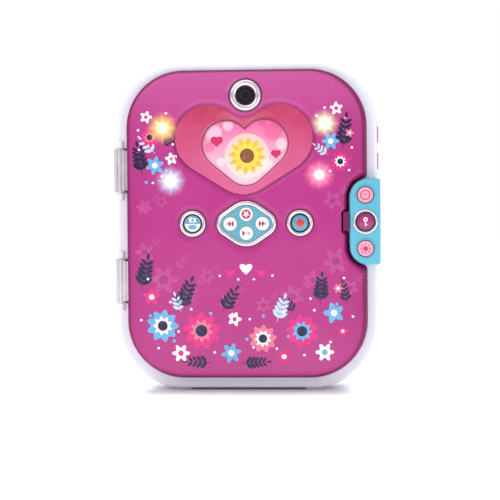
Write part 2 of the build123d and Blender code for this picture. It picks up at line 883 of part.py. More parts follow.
def lock_ring():
    seat = lock_front + key_ring_seat
    top = lock_front - key_ring_proud
    ring = rod(lock_button_x, lock_z, key_ring_radius, seat, top)
    ring -= rod(lock_button_x, lock_z, key_button_radius + slip + 0.05, seat, top)
    return fillet(ring.faces().sort_by(Axis.Y)[0].edges(), 0.5)


def lock_board():
    height = lock_height - 2 * lock_wall - 6.0
    x0 = lock_left + lock_wall + 1.2
    x1 = lock_right - lock_wall - 0.5
    blank = Pos((x0 + x1) / 2, lock_z) * RectangleRounded(x1 - x0, height, 6.0)
    return slab(blank, lock_board_front() + lock_board_thickness, lock_board_front())


def lock_switches():
    spots = [(lock_button_x, lock_z + dz) for dz in (clock_dz, 0.0, light_dz)]
    return [tact_switch(x, z, lock_board_front()) for x, z in spots]


def tact_switch(x, z, seat):
    body = slab(Pos(x, z) * Rectangle(switch_size, switch_size), seat, seat - switch_height * 0.7)
    return body + rod(x, z, switch_stem_radius, seat - switch_height * 0.7, seat - switch_height)


def latch_bolt():
    """Bolt with a bevelled nose and an arm that reaches back to the plunger."""
    x0 = lock_left + latch_rest
    x1 = x0 + latch_length
    nose = box(x0, x1, latch_y - latch_thickness / 2, latch_y + latch_thickness / 2,
               latch_z - latch_width / 2, latch_z + latch_width / 2)
    front_edge = nose.edges().filter_by(Axis.Z).group_by(Axis.X)[0].sort_by(Axis.Y)[0]
    nose = chamfer(front_edge, 1.2)
    arm_x0 = arm_start()
    arm_x1 = arm_x0 + latch_arm
    arm = box(arm_x0, arm_x1, latch_y, plunger_centre_y() + 3.0, latch_z - 2.5, latch_z + 2.5)
    return nose + arm - crossbar(plunger_centre_y(), latch_z, plunger_radius + hair, arm_x0 - 1, arm_x1 + 1)


def plunger_centre_y():
    return base_front + plunger_y


def arm_start():
    """Left side of the arm, which clears the housing's wall when the bolt is out."""
    return lock_left + lock_wall + 0.1 + latch_travel


def coil_start():
    return arm_start() + latch_arm + spring_room


def latch_plunger():
    return crossbar(plunger_centre_y(), latch_z, plunger_radius, arm_start(), coil_start() + 5.4)


def lock_coil():
    x1 = base_width / 2 - wall - 0.1
    x0 = coil_start()
    bobbin = crossbar(plunger_centre_y(), latch_z, plunger_radius + 1.0, x0, x1)
    bobbin += crossbar(plunger_centre_y(), latch_z, coil_radius, x0, x0 + 0.8)
    bobbin += crossbar(plunger_centre_y(), latch_z, coil_radius, x1 - 0.8, x1)
    bobbin += crossbar(plunger_centre_y(), latch_z, coil_radius - 0.6, x0 + 0.8, x1 - 0.8)
    return bobbin - crossbar(plunger_centre_y(), latch_z, plunger_radius + 0.1, x0, x1)


def latch_spring():
    """Coil spring round the plunger between the arm and the coil."""
    x0 = arm_start() + latch_arm
    rise = spring_room - 2 * spring_wire - 0.2
    path = Helix(rise / 2, rise, plunger_radius + spring_wire + 0.25)
    section = Plane(origin=path @ 0, z_dir=path % 0) * Circle(spring_wire)
    coil = sweep(section, path)
    return Pos(x0 + spring_wire + 0.1, plunger_centre_y(), latch_z) * Rot(0, 90, 0) * coil


def catch_plate():
    """Strike in the cover's notch with a slot for the bolt."""
    x0 = catch_face - catch_thickness
    body = box(x0, catch_face, cover_back - 0.4, face_depth(catch_face, latch_z) + 0.5,
               latch_z - catch_width / 2, latch_z + catch_width / 2)
    return body - latch_slot(x0 - 1, catch_face + 1, 2 * slip)


# Hinges

def hinge_arm(z):
    """Flat arm from the barrel into the cover."""
    back = hinge_y - hinge_pin_radius - hinge_floor_gap
    half = hinge_length / 2 - hinge_arm_inset
    return box(hinge_x, hinge_x + hinge_arm_reach, back - hinge_arm_thickness, back, z - half, z + half)


def hinge_slot(z, clearance):
    """Slot, open to the back, that the arm lies in."""
    arm = hinge_arm(z).bounding_box()
    return box(arm.min.X, arm.max.X + clearance, arm.min.Y - clearance, cover_back + 1,
               arm.min.Z - clearance, arm.max.Z + clearance)


def lead_path_angle():
    """Downward slope of the cross hole from the barrel axis to the arm's middle."""
    drop = hinge_pin_radius + hinge_floor_gap + hinge_arm_thickness / 2
    return math.degrees(math.atan2(drop, hinge_radius + 4.0))


def cross_hole(radius, start, end):
    """Round bar from the lower hinge's axis out along its arm."""
    angle = lead_path_angle()
    middle = (start + end) / 2
    x = hinge_x + middle * math.cos(math.radians(angle))
    y = hinge_y - middle * math.sin(math.radians(angle))
    return Pos(x, y, lower_hinge_z) * Rot(0, 0, -angle) * Rot(0, 90, 0) * Cylinder(radius, end - start)


def hinge(z):
    """Clear barrel and arm that are fixed to the cover."""
    half = hinge_length / 2
    barrel = upright(hinge_x, hinge_y, hinge_radius, z - half, z + half)
    barrel = fillet(barrel.edges(), 0.6)
    knuckle = barrel + hinge_arm(z)
    return knuckle - upright(hinge_x, hinge_y, hinge_pin_radius + running, z - half, z + half)


def lower_hinge():
    return hinge(lower_hinge_z) - cross_hole(lead_radius + 0.15, 0, 30)


def upper_hinge_pin():
    half = hinge_length / 2 + hinge_end_gap + hinge_lug_length - 1.0
    pin = upright(hinge_x, hinge_y, hinge_pin_radius, upper_hinge_z - half, upper_hinge_z + half)
    return chamfer(pin.edges(), 0.3)


def lower_hinge_bushes():
    """Two short tubes; the lead runs through the lower one."""
    half = hinge_length / 2 + hinge_end_gap + hinge_lug_length - 1.0
    foot = lead_exit_z + lead_radius + 0.3
    lower = upright(hinge_x, hinge_y, hinge_pin_radius, foot, lower_hinge_z - 3.0)
    lower -= upright(hinge_x, hinge_y, hinge_bush_bore, foot, lower_hinge_z - 3.0)
    upper = upright(hinge_x, hinge_y, hinge_pin_radius, lower_hinge_z + 3.0, lower_hinge_z + half)
    return [lower, upper]


def base_lead():
    """Lead from inside the base up the lower hinge's axis."""
    rise = upright(hinge_x, hinge_y, lead_radius, lead_exit_z, lower_hinge_z - 1.0)
    return rise + Pos(hinge_x, hinge_y, lead_exit_z) * Sphere(lead_radius) + lead_exit(lead_radius, hinge_y)


def cover_lead():
    """Lead from the lower hinge's axis through the arm into the cover."""
    stub = upright(hinge_x, hinge_y, lead_radius, lower_hinge_z - 0.9, lower_hinge_z)
    bend = Pos(hinge_x, hinge_y, lower_hinge_z) * Sphere(lead_radius)
    return stub + bend + cross_hole(lead_radius, 0, hinge_arm_reach + 6.0)


# Cover pieces

def cover_screw_spots():
    foot_x = cover_width / 2 - cover_screw_foot
    head_x = cover_width / 2 - cover_screw_head
    foot = cover_bottom + cover_screw_low
    head = cover_bottom + cover_height - cover_screw_high
    return [(-foot_x, foot), (foot_x, foot), (-head_x, head), (head_x, head),
            (0.0, cover_bottom + cover_screw_sill), (0.0, pad_z - cover_screw_middle)]


def cover_body(inset):
    """Crowned, tapered block of the cover; the inset leaves the inside."""
    back = cover_back
    blank = slab(cover_outline(inset), back, crown_y - 1.0, taper=cover_taper)
    return blank & crown_ball(inset)


def cover_shell():
    shell = cover_body(0.0)
    front = shell.faces().sort_by(Axis.Y)[0]
    shell = fillet(front.edges(), cover_edge_round)
    shell -= cover_body(cover_wall)
    for x, z in cover_screw_spots():
        shell += rod(x, z, boss_radius, panel_front, face_depth(x, z) + cover_wall / 2)
        shell -= rod(x, z, screw_radius + hair, panel_front, face_depth(x, z) + cover_wall + 0.8)
    shell -= slab(bezel_outline(slip), cover_back, crown_y - 1)
    shell -= rod(camera_x, camera_z, camera_ring_radius - camera_ring_ledge, cover_back, crown_y - 1)
    shell -= rod(camera_x, camera_z, camera_ring_radius + slip, ring_seat(camera_x, camera_z), crown_y - 1)
    shell -= slab(pad_outline(pad_ring_width - 0.6), cover_back, crown_y - 1)
    shell -= slab(pad_outline(-slip), ring_seat(pad_x, pad_z), crown_y - 1)
    for x, z in ((photo_x, photo_z), (record_x, record_z)):
        shell -= rod(x, z, side_ring_radius - 0.9, cover_back, crown_y - 1)
        shell -= rod(x, z, side_ring_radius + slip, ring_seat(x, z), crown_y - 1)
    for x, z in glow_spots:
        shell -= rod(x, z, light_pipe_radius + hair, cover_back, crown_y - 1)
    for z in (upper_hinge_z, lower_hinge_z):
        shell -= hinge_slot(z, hair)
        half = hinge_length / 2 + slip
        shell -= upright(hinge_x, hinge_y, hinge_radius + 2 * slip, z - half, z + half)
    shell -= cross_hole(lead_radius + 0.2, 0, hinge_arm_reach + 7.0)
    shell -= box(catch_face - catch_thickness - hair, catch_face + 4, cover_back + 1, crown_y - 1,
                 latch_z - catch_width / 2 - hair, latch_z + catch_width / 2 + hair)
    return shell


def ring_seat(x, z):
    """Depth of the ledge that a trim ring sits on."""
    return face_depth(x, z) + 1.1


def cover_panel():
    """Inner panel that closes the back of the cover."""
    plate = slab(cover_outline(cover_wall + panel_slip), cover_back, panel_front, taper=cover_taper)
    for post in board_posts():
        plate += post
    for x, z in cover_screw_spots():
        plate -= rod(x, z, screw_radius + 0.1, cover_back, panel_front)
        plate -= rod(x, z, screw_head_radius + 0.2, cover_back, cover_back - 1.0)
    for z in (upper_hinge_z, lower_hinge_z):
        plate -= hinge_slot(z, slip)
    plate -= box(catch_face - catch_thickness - slip, catch_face + 4, cover_back + 1, panel_front - 1,
                 latch_z - catch_width / 2 - slip, latch_z + catch_width / 2 + slip)
    return plate


def cover_screws():
    return [screw(x, z, cover_back - screw_slack, cover_screw_length, height=cover_screw_cap)
            for x, z in cover_screw_spots()]


def heart_bezel():
    plug = slab(bezel_outline(), bezel_back, bezel_front)
    flange = slab(bezel_outline(bezel_flange), bezel_back, bezel_back - 1.2)
    bezel = plug + flange
    bezel -= slab(window_outline(), bezel_back, bezel_front)
    return bezel - slab(window_outline(1.0), bezel_back, lens_front)


def heart_window():
    return slab(window_outline(1.0 - slip), lens_back, lens_front)


def display_screen():
    middle = Pos(window_x, screen_z)
    return slab(middle * Rectangle(screen_width, screen_height), screen_back, screen_front)


def display_bracket():
    middle = Pos(window_x, screen_z)
    rim = RectangleRounded(screen_width + 2 * screen_rim, screen_height + 2 * screen_rim, screen_rim)
    tray = slab(middle * rim, screen_back + 0.6, screen_back - 0.8)
    tray -= slab(middle * Rectangle(screen_width + 0.4, screen_height + 0.4), screen_back, screen_back - 0.8)
    mouth = Rectangle(screen_width - 2 * screen_lip, screen_height - 2 * screen_lip)
    return tray - slab(middle * mouth, screen_back + 0.6, screen_back)


def camera_ring():
    """Trim ring with a stepped inner cone round the camera window."""
    seat = ring_seat(camera_x, camera_z)
    top = face_depth(camera_x, camera_z) - ring_proud
    ring = rod(camera_x, camera_z, camera_ring_radius, seat, top)
    sleeve = camera_ring_radius - camera_ring_ledge - slip
    ring += rod(camera_x, camera_z, sleeve, seat + camera_ring_depth, seat)
    ring -= rod(camera_x, camera_z, camera_window_radius - camera_ring_lip, seat + camera_ring_depth, top)
    ring -= rod(camera_x, camera_z, camera_window_radius + hair, top + camera_window_seat, top)
    ring = fillet(ring.faces().sort_by(Axis.Y)[0].edges().sort_by(SortBy.LENGTH)[-1], 0.8)
    return chamfer(ring.faces().sort_by(Axis.Y)[0].edges().sort_by(SortBy.LENGTH)[0], 0.7)


def camera_window():
    top = face_depth(camera_x, camera_z) - ring_proud
    back = top + camera_window_seat
    return rod(camera_x, camera_z, camera_window_radius, back, back - camera_window_thickness)


def camera_module():
    top = face_depth(camera_x, camera_z) - ring_proud + camera_window_seat
    half = camera_module_size / 2 - 0.4
    body = box(camera_x - half, camera_x + half, board_front, top + 3.2, camera_z - half, camera_z + half)
    return body + rod(camera_x, camera_z, 3.0, top + 3.2, top + 0.6)


def pad_ring():
    seat = ring_seat(pad_x, pad_z)
    ring = slab(pad_outline(), seat, ring_top)
    ring -= slab(pad_outline(pad_ring_width), seat, ring_top)
    return chamfer(ring.faces().sort_by(Axis.Y)[0].edges(), 0.5)


def pad_panel():
    """Coloured insert inside the ring with four button holes."""
    inner = crown_y + cover_wall
    panel = slab(pad_outline(pad_ring_width + slip), inner + 0.2, ring_top + pad_sink)
    panel += slab(pad_outline(-1.0), flange_front - 0.15, inner + 0.1)
    for x, z in pad_button_spots():
        panel -= rod(x, z, pad_button_radius + slip, flange_front, ring_top)
    return panel


def pad_button_spots():
    return [(pad_x, pad_z + pad_button_z), (pad_x - pad_button_x, pad_z),
            (pad_x + pad_button_x, pad_z), (pad_x, pad_z - pad_button_z)]


def button(x, z, radius, back, front, edge_round):
    """Round key cap with a retaining flange at its back."""
    cap = rod(x, z, radius, back - flange_thickness, front)
    cap = fillet(cap.faces().sort_by(Axis.Y)[0].edges(), edge_round)
    return cap + rod(x, z, radius + button_flange, back, back - flange_thickness)


def pad_button(index):
    x, z = pad_button_spots()[index]
    return button(x, z, pad_button_radius, flange_back, ring_top + 0.1, 0.7)


def side_ring(x, z):
    """Trim ring with a sleeve that guides its button."""
    seat = ring_seat(x, z)
    top = face_depth(x, z) - ring_proud
    ring = rod(x, z, side_ring_radius, seat, top)
    ring += rod(x, z, side_ring_radius - 0.9 - slip, flange_front - 0.2, seat)
    ring -= rod(x, z, side_ring_radius - side_ring_width, flange_front - 0.2, top)
    return chamfer(ring.faces().sort_by(Axis.Y)[0].edges(), 0.5)


def photo_button():
    return button(photo_x, photo_z, side_button_radius, flange_back, face_depth(photo_x, photo_z) - 0.5, 0.6)


def record_button():
    front = face_depth(record_x, record_z) - 0.5
    return button(record_x, record_z, side_button_radius, flange_back, front, 2.0)


def lock_button(dz, radius, proud, edge_round):
    return button(lock_button_x, lock_z + dz, radius, lock_flange_back(), lock_front - proud, edge_round)


def main_board():
    middle = Pos(0, (board_bottom + board_top) / 2)
    blank = middle * RectangleRounded(board_width, board_top - board_bottom, 4.0)
    tab_foot = board_top - board_post_inset
    tab = Rectangle(camera_tab_width, camera_tab_top - tab_foot)
    blank += Pos(camera_x, (tab_foot + camera_tab_top) / 2) * tab
    board = slab(blank, board_back, board_front)
    for x, z, width, height in board_chips:
        chip = Pos(x, board_bottom + z) * Rectangle(width, height)
        board += slab(chip, board_front, board_front - board_chip_height)
    for x, z in glow_spots:
        lamp = Pos(x, z) * Rectangle(2 * light_pipe_radius, 1.5 * light_pipe_radius)
        board += slab(lamp, board_front, board_front - board_chip_height)
    return board


def board_posts():
    """Spacers that hold the main board off the inner panel."""
    side = board_width / 2 - board_post_inset
    foot, head = board_bottom + board_post_inset, board_top - board_post_inset
    return [rod(x, z, board_spacer_radius, panel_front, board_back)
            for x in (-side, side) for z in (foot, head)]


def cover_switches():
    spots = pad_button_spots() + [(photo_x, photo_z), (record_x, record_z)]
    return [tact_switch(x, z, board_front) for x, z in spots]


def light_pipes():
    """Clear rods that carry each light to the cover's face."""
    pipes = []
    for x, z in glow_spots:
        pipe = rod(x, z, light_pipe_radius, board_front - 1.0, face_depth(x, z) + 0.1)
        pipes.append(pipe + rod(x, z, light_pipe_radius + 0.8, board_front - 1.0, board_front - 2.2))
    return pipes


os.makedirs("parts", exist_ok=True)

save("front_frame", front_frame())
save("rear_shell", rear_shell())
save("storage_tray", storage_tray())
note_covers, note_pages, note_rings = notebook()
save("notebook_covers", note_covers)
save("notebook_pages", note_pages)
save("notebook_rings", note_rings)
save("battery_cells", battery_cells())
save("battery_contacts", battery_contacts())
save("battery_door", battery_door())
save("battery_door_screw", battery_door_screw())
save("case_screws", case_screws())
save("feet", feet())
save("speaker_frame", speaker())
save("speaker_cone", speaker_cone())
save("base_board", base_board())
save("board_screws", board_screws())
save("usb_socket", usb_socket())
save("audio_socket", audio_socket())
save("usb_flap", socket_flap(usb_z))
save("audio_flap", socket_flap(audio_z))

save("lock_housing", lock_housing())
save("lock_ring", lock_ring())
save("lock_board", lock_board())
save("lock_switches", lock_switches())
save("lock_coil", lock_coil())
save("latch_bolt", latch_bolt())
save("latch_plunger", latch_plunger())
save("latch_spring", latch_spring())
save("clock_button", lock_button(clock_dz, small_button_radius, 0.7, 0.7))
save("key_button", lock_button(0.0, key_button_radius, 0.9, 2.0))
save("light_button", lock_button(light_dz, small_button_radius, 0.7, 0.7))

save("upper_hinge", hinge(upper_hinge_z))
save("lower_hinge", lower_hinge())
save("upper_hinge_pin", upper_hinge_pin())
save("lower_hinge_bushes", lower_hinge_bushes())
save("base_lead", base_lead())
save("cover_lead", cover_lead())

save("cover_shell", cover_shell())
save("cover_panel", cover_panel())
save("cover_screws", cover_screws())
save("catch_plate", catch_plate())
save("heart_bezel", heart_bezel())
save("heart_window", heart_window())
save("display_screen", display_screen())
save("display_bracket", display_bracket())
save("camera_ring", camera_ring())
save("camera_window", camera_window())
save("camera_module", camera_module())
save("pad_ring", pad_ring())
save("pad_panel", pad_panel())
for index, name in enumerate(("star_button", "rewind_button", "forward_button", "play_button")):
    save(name, pad_button(index))
save("side_rings", [side_ring(photo_x, photo_z), side_ring(record_x, record_z)])
save("photo_button", photo_button())
save("record_button", record_button())
save("main_board", main_board())
save("cover_switches", cover_switches())
save("light_pipes", light_pipes())
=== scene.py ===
import math

import bpy
import numpy as np
from mathutils import Matrix, Vector


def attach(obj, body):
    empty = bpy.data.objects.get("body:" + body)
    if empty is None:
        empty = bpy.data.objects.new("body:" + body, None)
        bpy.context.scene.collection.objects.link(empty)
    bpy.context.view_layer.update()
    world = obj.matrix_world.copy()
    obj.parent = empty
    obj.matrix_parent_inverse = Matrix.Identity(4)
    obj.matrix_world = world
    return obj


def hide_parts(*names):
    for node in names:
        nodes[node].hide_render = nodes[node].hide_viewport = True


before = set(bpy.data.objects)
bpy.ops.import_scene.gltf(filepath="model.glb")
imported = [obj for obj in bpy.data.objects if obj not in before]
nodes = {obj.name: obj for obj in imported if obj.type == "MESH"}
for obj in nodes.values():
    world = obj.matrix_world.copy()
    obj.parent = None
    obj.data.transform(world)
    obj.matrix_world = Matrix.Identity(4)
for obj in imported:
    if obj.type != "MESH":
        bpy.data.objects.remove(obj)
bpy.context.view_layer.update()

print("frame loaded:", len(nodes), "nodes")

# millimetres in every setting; metres only where a mesh, light or camera is made
levels = {"coverBack": -9.4, "crownY": -21.9, "crownRadius": 3000.0, "coverCentreZ": 116.1, "ringTop": -23.1,
          "lensFront": -18.8}


def resample(points, count):
    # even steps along a closed line
    loop = np.vstack([points, points[:1]])
    steps = np.hypot(*np.diff(loop, axis=0).T)
    along = np.concatenate([[0.0], np.cumsum(steps)])
    at = np.linspace(0.0, along[-1], count, endpoint=False)
    return np.stack([np.interp(at, along, loop[:, 0]), np.interp(at, along, loop[:, 1])], 1)


def arcPath(x, z, radius, start, stop, count, closed=True):
    # centre plus radius times cosine and sine
    turn = np.linspace(start, stop, count, endpoint=closed)
    return np.stack([x + radius * np.cos(turn), z + radius * np.sin(turn)], 1)


def circlePath(x, z, radius, count=96):
    return arcPath(x, z, radius, 0, 2 * np.pi, count, False)


def hullPath(discs, count):
    # the taut line round some discs: for every direction, the disc that reaches furthest
    turn = np.linspace(0, 2 * np.pi, 7200, endpoint=False)
    way = np.stack([np.cos(turn), np.sin(turn)], 1)
    discs = np.asarray(discs, float)
    reach = way @ discs[:, :2].T + discs[:, 2]
    best = np.argmax(reach, 1)
    return resample(discs[best, :2] + way * discs[best, 2:3], count)


def heartPath(s, count):
    # two lobe arcs, two long side arcs that touch them, a round tip, and a cleft or a hollow arc on top
    rl, rt, rs = s["lobeRadius"], s["tipRadius"], s["sideRadius"]
    lx, lz, tz = s["lobeX"], s["lobeZ"], s["tipZ"]
    span = math.hypot(lx, lz - tz)
    ux, uz = lx / span, (lz - tz) / span
    along = ((rs - rt) ** 2 - (rs - rl) ** 2 + span ** 2) / (2 * span)
    away = math.sqrt((rs - rt) ** 2 - along ** 2)
    sx, sz = ux * along - uz * away, tz + uz * along + ux * away
    lobeTurn = math.atan2(lz - sz, lx - sx)
    tipTurn = math.atan2(tz - sz, -sx)
    hollow = s["hollowZ"]
    cleftTurn = math.atan2(hollow - lz, -lx) if hollow else math.acos(-lx / rl)
    arcs = [(lx, lz, rl, cleftTurn, lobeTurn, 300), (sx, sz, rs, lobeTurn, tipTurn, 200),
            (0.0, tz, rt, tipTurn, -np.pi / 2, 60)]
    half = np.concatenate([arcPath(*arc) for arc in arcs])
    if hollow:
        rh, start = math.hypot(lx, hollow - lz) - rl, cleftTurn + math.pi
        bend = np.linspace(-np.pi / 2, start - 2 * np.pi if start > np.pi else start, 60)[:-1]
        half = np.vstack([np.stack([rh * np.cos(bend), hollow + rh * np.sin(bend)], 1), half])
    whole = np.vstack([half, half[::-1] * [-1, 1]])
    middle = (lz + rl + tz - rt) / 2
    cosine, sine = math.cos(math.radians(s["turn"])), math.sin(math.radians(s["turn"]))
    x, z = whole[:, 0], whole[:, 1] - middle
    return resample(np.stack([s["x"] + x * cosine - z * sine, middle + x * sine + z * cosine], 1)[::-1], count)


def facesOut(path):
    # unit outward normals of a closed line that runs anticlockwise
    run = np.roll(path, -1, 0) - np.roll(path, 1, 0)
    run = run / np.linalg.norm(run, axis=1, keepdims=True)
    out = np.stack([run[:, 1], -run[:, 0]], 1)
    area = np.sum(path[:, 0] * np.roll(path[:, 1], -1) - np.roll(path[:, 0], -1) * path[:, 1])
    return out if area > 0 else -out


def inset(path, by):
    return path - facesOut(path) * by


def polarTable(path, centre):
    # how far the line lies from a centre, by angle
    away = path - np.asarray(centre)
    turn = np.arctan2(away[:, 1], away[:, 0])
    order = np.argsort(turn)
    turn, reach = turn[order], np.hypot(*away.T)[order]
    turn = np.concatenate([turn[-1:] - 2 * np.pi, turn, turn[:1] + 2 * np.pi])
    reach = np.concatenate([reach[-1:], reach, reach[:1]])
    return {"centre": centre, "turn": turn, "reach": reach, "lean": np.gradient(reach, turn)}


def depthInside(table, x, z):
    # distance inside the line, first order: radial gap times the cosine of the line's lean
    dx, dz = x - table["centre"][0], z - table["centre"][1]
    turn, r = np.arctan2(dz, dx), np.hypot(dx, dz)
    reach = np.interp(turn, table["turn"], table["reach"])
    lean = np.interp(turn, table["turn"], table["lean"])
    return (reach - r) / np.sqrt(1 + (lean / reach) ** 2)


def soft(value, low, high):
    # 0 before low, 1 after high, a smooth step between
    t = np.clip((value - low) / (high - low), 0, 1)
    return t * t * (3 - 2 * t)


def crown(x, z):
    # the large ball that the cover's face lies on
    reach = x * x + (z - levels["coverCentreZ"]) ** 2
    return levels["crownY"] + levels["crownRadius"] - np.sqrt(levels["crownRadius"] ** 2 - reach)


def ring3(flat, y):
    # flat (x, z) points set at a depth y
    return np.stack([flat[..., 0], np.broadcast_to(y, flat.shape[:-1]), flat[..., 1]], -1)


def putObject(name, data):
    made = bpy.data.objects.new(name, data)
    bpy.context.scene.collection.objects.link(made)
    return made


def putMesh(name, verts, faces):
    # verts in millimetres
    mesh = bpy.data.meshes.new(name)
    mesh.from_pydata((verts * 0.001).tolist(), [], faces)
    return putObject(name, mesh)


def putPiece(name, verts, faces, body, finish, replaces=(), slot=None, toward=None, hard=None):
    # a closed shape is turned so that its volume is positive, and a sheet so that it looks toward a direction
    verts = np.asarray(verts, float)
    four = np.array([f for f in faces if len(f) == 4], int).reshape(-1, 4)
    three = np.array([f for f in faces if len(f) == 3], int).reshape(-1, 3)
    tris = np.vstack([four[:, :3], four[:, [0, 2, 3]], three])
    a, b, c = verts[tris[:, 0]], verts[tris[:, 1]], verts[tris[:, 2]]
    cross = np.cross(b - a, c - a)
    sign = np.sum(a * cross) if toward is None else np.sum(cross @ np.asarray(toward, float))
    if sign < 0:
        faces = [f[::-1] for f in faces]
    piece = putMesh(name, verts, faces)
    mesh = piece.data
    mesh.polygons.foreach_set("use_smooth", np.ones(len(faces), bool))
    mesh.update()
    if hard is not None:
        mesh.set_sharp_from_angle(angle=math.radians(hard))
    mesh.materials.append(finish)
    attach(piece, body)
    if replaces:
        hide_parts(*replaces)
    return piece


def loftFaces(k, n, loop=False, capStart=False, capEnd=False):
    # quads between neighbouring rings, and fans to a middle point at capped ends
    i, j = np.meshgrid(np.arange(k if loop else k - 1), np.arange(n), indexing="ij")
    a, b = i * n + j, i * n + (j + 1) % n
    c, d = ((i + 1) % k) * n + (j + 1) % n, ((i + 1) % k) * n + j
    faces = np.stack([a, b, c, d], -1).reshape(-1, 4).tolist()
    around = np.arange(n)
    if capStart:
        faces += np.stack([(around + 1) % n, around, np.full(n, k * n)], 1).tolist()
    if capEnd:
        last = (k - 1) * n
        faces += np.stack([last + around, last + (around + 1) % n, np.full(n, k * n + int(capStart))], 1).tolist()
    return faces


def loft(name, rings, body, finish, loop=False, capStart=False, capEnd=False, **rest):
    # rings (k, n, 3): each a closed line, joined in order
    rings = np.asarray(rings, float)
    k, n = rings.shape[:2]
    verts = rings.reshape(-1, 3)
    if capStart:
        verts = np.vstack([verts, rings[0].mean(0)])
    if capEnd:
        verts = np.vstack([verts, rings[-1].mean(0)])
    return putPiece(name, verts, loftFaces(k, n, loop, capStart, capEnd), body, finish, **rest)


def trimRing(name, path, width, top, seat, body, finish, bulge=0.55, **rest):
    # a rounded band carried along a closed line: half an ellipse over a flat foot
    turn = np.linspace(0, np.pi, 17)
    across = width / 2 - width / 2 * np.cos(turn)
    rise = np.sin(turn) ** 0.8
    front = [ring3(inset(path, w), top + (1 - r) * bulge) for w, r in zip(across, rise)]
    foot = [ring3(inset(path, width), seat), ring3(path, seat)]
    return loft(name, front + foot, body, finish, loop=True, hard=50, **rest)


def capButton(name, x, z, radius, front, back, body, finish, edge=0.8, dome=0.0, dish=0.0, **rest):
    # a round key: straight skirt, rounded shoulder, then a shallow dome or finger dish
    turn = np.linspace(0, np.pi / 2, 9)[1:]
    flat = np.linspace(1, 0.04, 14)
    radii = np.concatenate([[radius, radius], radius - edge + edge * np.cos(turn), (radius - edge) * flat[1:]])
    height = np.concatenate([[back, front + edge], front + edge - edge * np.sin(turn),
                             front - dome * (1 - flat[1:] ** 2) + dish * (1 - flat[1:] ** 2)])
    rings = [ring3(circlePath(x, z, r, 72), y) for r, y in zip(radii, height)]
    return loft(name, rings, body, finish, capStart=True, capEnd=True, hard=60, **rest)


class Wire:
    # one value in a material; each sum or product adds a Math node to it
    def __init__(self, finish, socket):
        self.finish, self.socket = finish, socket

    def math(self, how, *others, clamp=False):
        return self.finish.node("ShaderNodeMath", {"operation": how, "use_clamp": clamp},
                                dict(enumerate((self,) + others)))

    def __add__(self, other): return self.math("ADD", other)
    def __radd__(self, other): return self.math("ADD", other)
    def __sub__(self, other): return self.math("SUBTRACT", other)
    def __rsub__(self, other): return self.math("MULTIPLY", -1.0).math("ADD", other)
    def __mul__(self, other): return self.math("MULTIPLY", other)
    def __pow__(self, other): return self.math("POWER", other)
    def __neg__(self): return self.math("MULTIPLY", -1.0)
    def __abs__(self): return self.math("ABSOLUTE")
    def most(self, other): return self.math("MAXIMUM", other)
    def held(self): return self.math("ADD", 0.0, clamp=True)

    def step(self, low, high):
        # 0 below low, 1 above high, smooth between
        return self.finish.node("ShaderNodeMapRange", {"interpolation_type": "SMOOTHSTEP"},
                                {"Value": self, "From Min": low, "From Max": high})


class Finish:
    # one material being built, with the shader at its end
    def __init__(self, name, **constants):
        self.material = bpy.data.materials.new(name)
        self.material.use_nodes = True
        self.tree = self.material.node_tree
        self.tree.nodes.clear()
        self.shader = self.tree.nodes.new("ShaderNodeBsdfPrincipled")
        self.end = self.tree.nodes.new("ShaderNodeOutputMaterial")
        self.tree.links.new(self.shader.outputs[0], self.end.inputs["Surface"])
        self.place = None
        for key, value in constants.items():
            self.shader.inputs[key.replace("_", " ")].default_value = value

    def node(self, kind, settings=None, values=None, out=0):
        made = self.tree.nodes.new(kind)
        for key, value in (settings or {}).items():
            setattr(made, key, value)
        for key, value in (values or {}).items():
            if isinstance(value, Wire):
                self.tree.links.new(value.socket, made.inputs[key])
            else:
                made.inputs[key].default_value = value
        return Wire(self, made.outputs[out])

    def spot(self):
        # place on the object, in metres
        if self.place is None:
            self.place = self.node("ShaderNodeTexCoord", out="Object")
        return self.place

    def axes(self):
        # x, y and z in millimetres
        split = self.node("ShaderNodeSeparateXYZ", None, {0: self.spot()}).socket.node
        return [Wire(self, split.outputs[k]) * 1000.0 for k in range(3)]

    def noise(self, size, detail=2.0, rough=0.5, stretch=None):
        # cloudy value about 0.5; size is the width of its lumps in millimetres
        at = self.spot()
        if stretch:
            at = self.node("ShaderNodeVectorMath", {"operation": "MULTIPLY"}, {0: at, 1: stretch})
        return self.node("ShaderNodeTexNoise", None,
                         {"Vector": at, "Scale": 1000.0 / size, "Detail": detail, "Roughness": rough})

    def mix(self, share, first, second):
        # colours: first where share is 0, second where it is 1
        first, second = (c if isinstance(c, Wire) else (*c, 1) for c in (first, second))
        return self.node("ShaderNodeMix", {"data_type": "RGBA"}, {0: share, 6: first, 7: second}, out=2)

    def layers(self, tone, *coats):
        # a colour under coats, each (where it lies, its colour)
        for share, colour in coats:
            tone = self.mix(share, tone, colour)
        return tone

    def bump(self, height, strength, reach):
        return self.node("ShaderNodeBump", None, {"Height": height, "Strength": strength, "Distance": reach * 0.001},
                         out="Normal")

    def feed(self, **wires):
        for key, wire in wires.items():
            self.tree.links.new(wire.socket, self.shader.inputs[key.replace("_", " ")])
        return self.material


def radial(x, z):
    return (x * x + z * z) ** 0.5


def shade(*colour):
    # a picked screen colour, 0 to 255, as linear light
    c = np.asarray(colour, float) / 255
    return tuple(np.where(c <= 0.04045, c / 12.92, ((c + 0.055) / 1.055) ** 2.4))


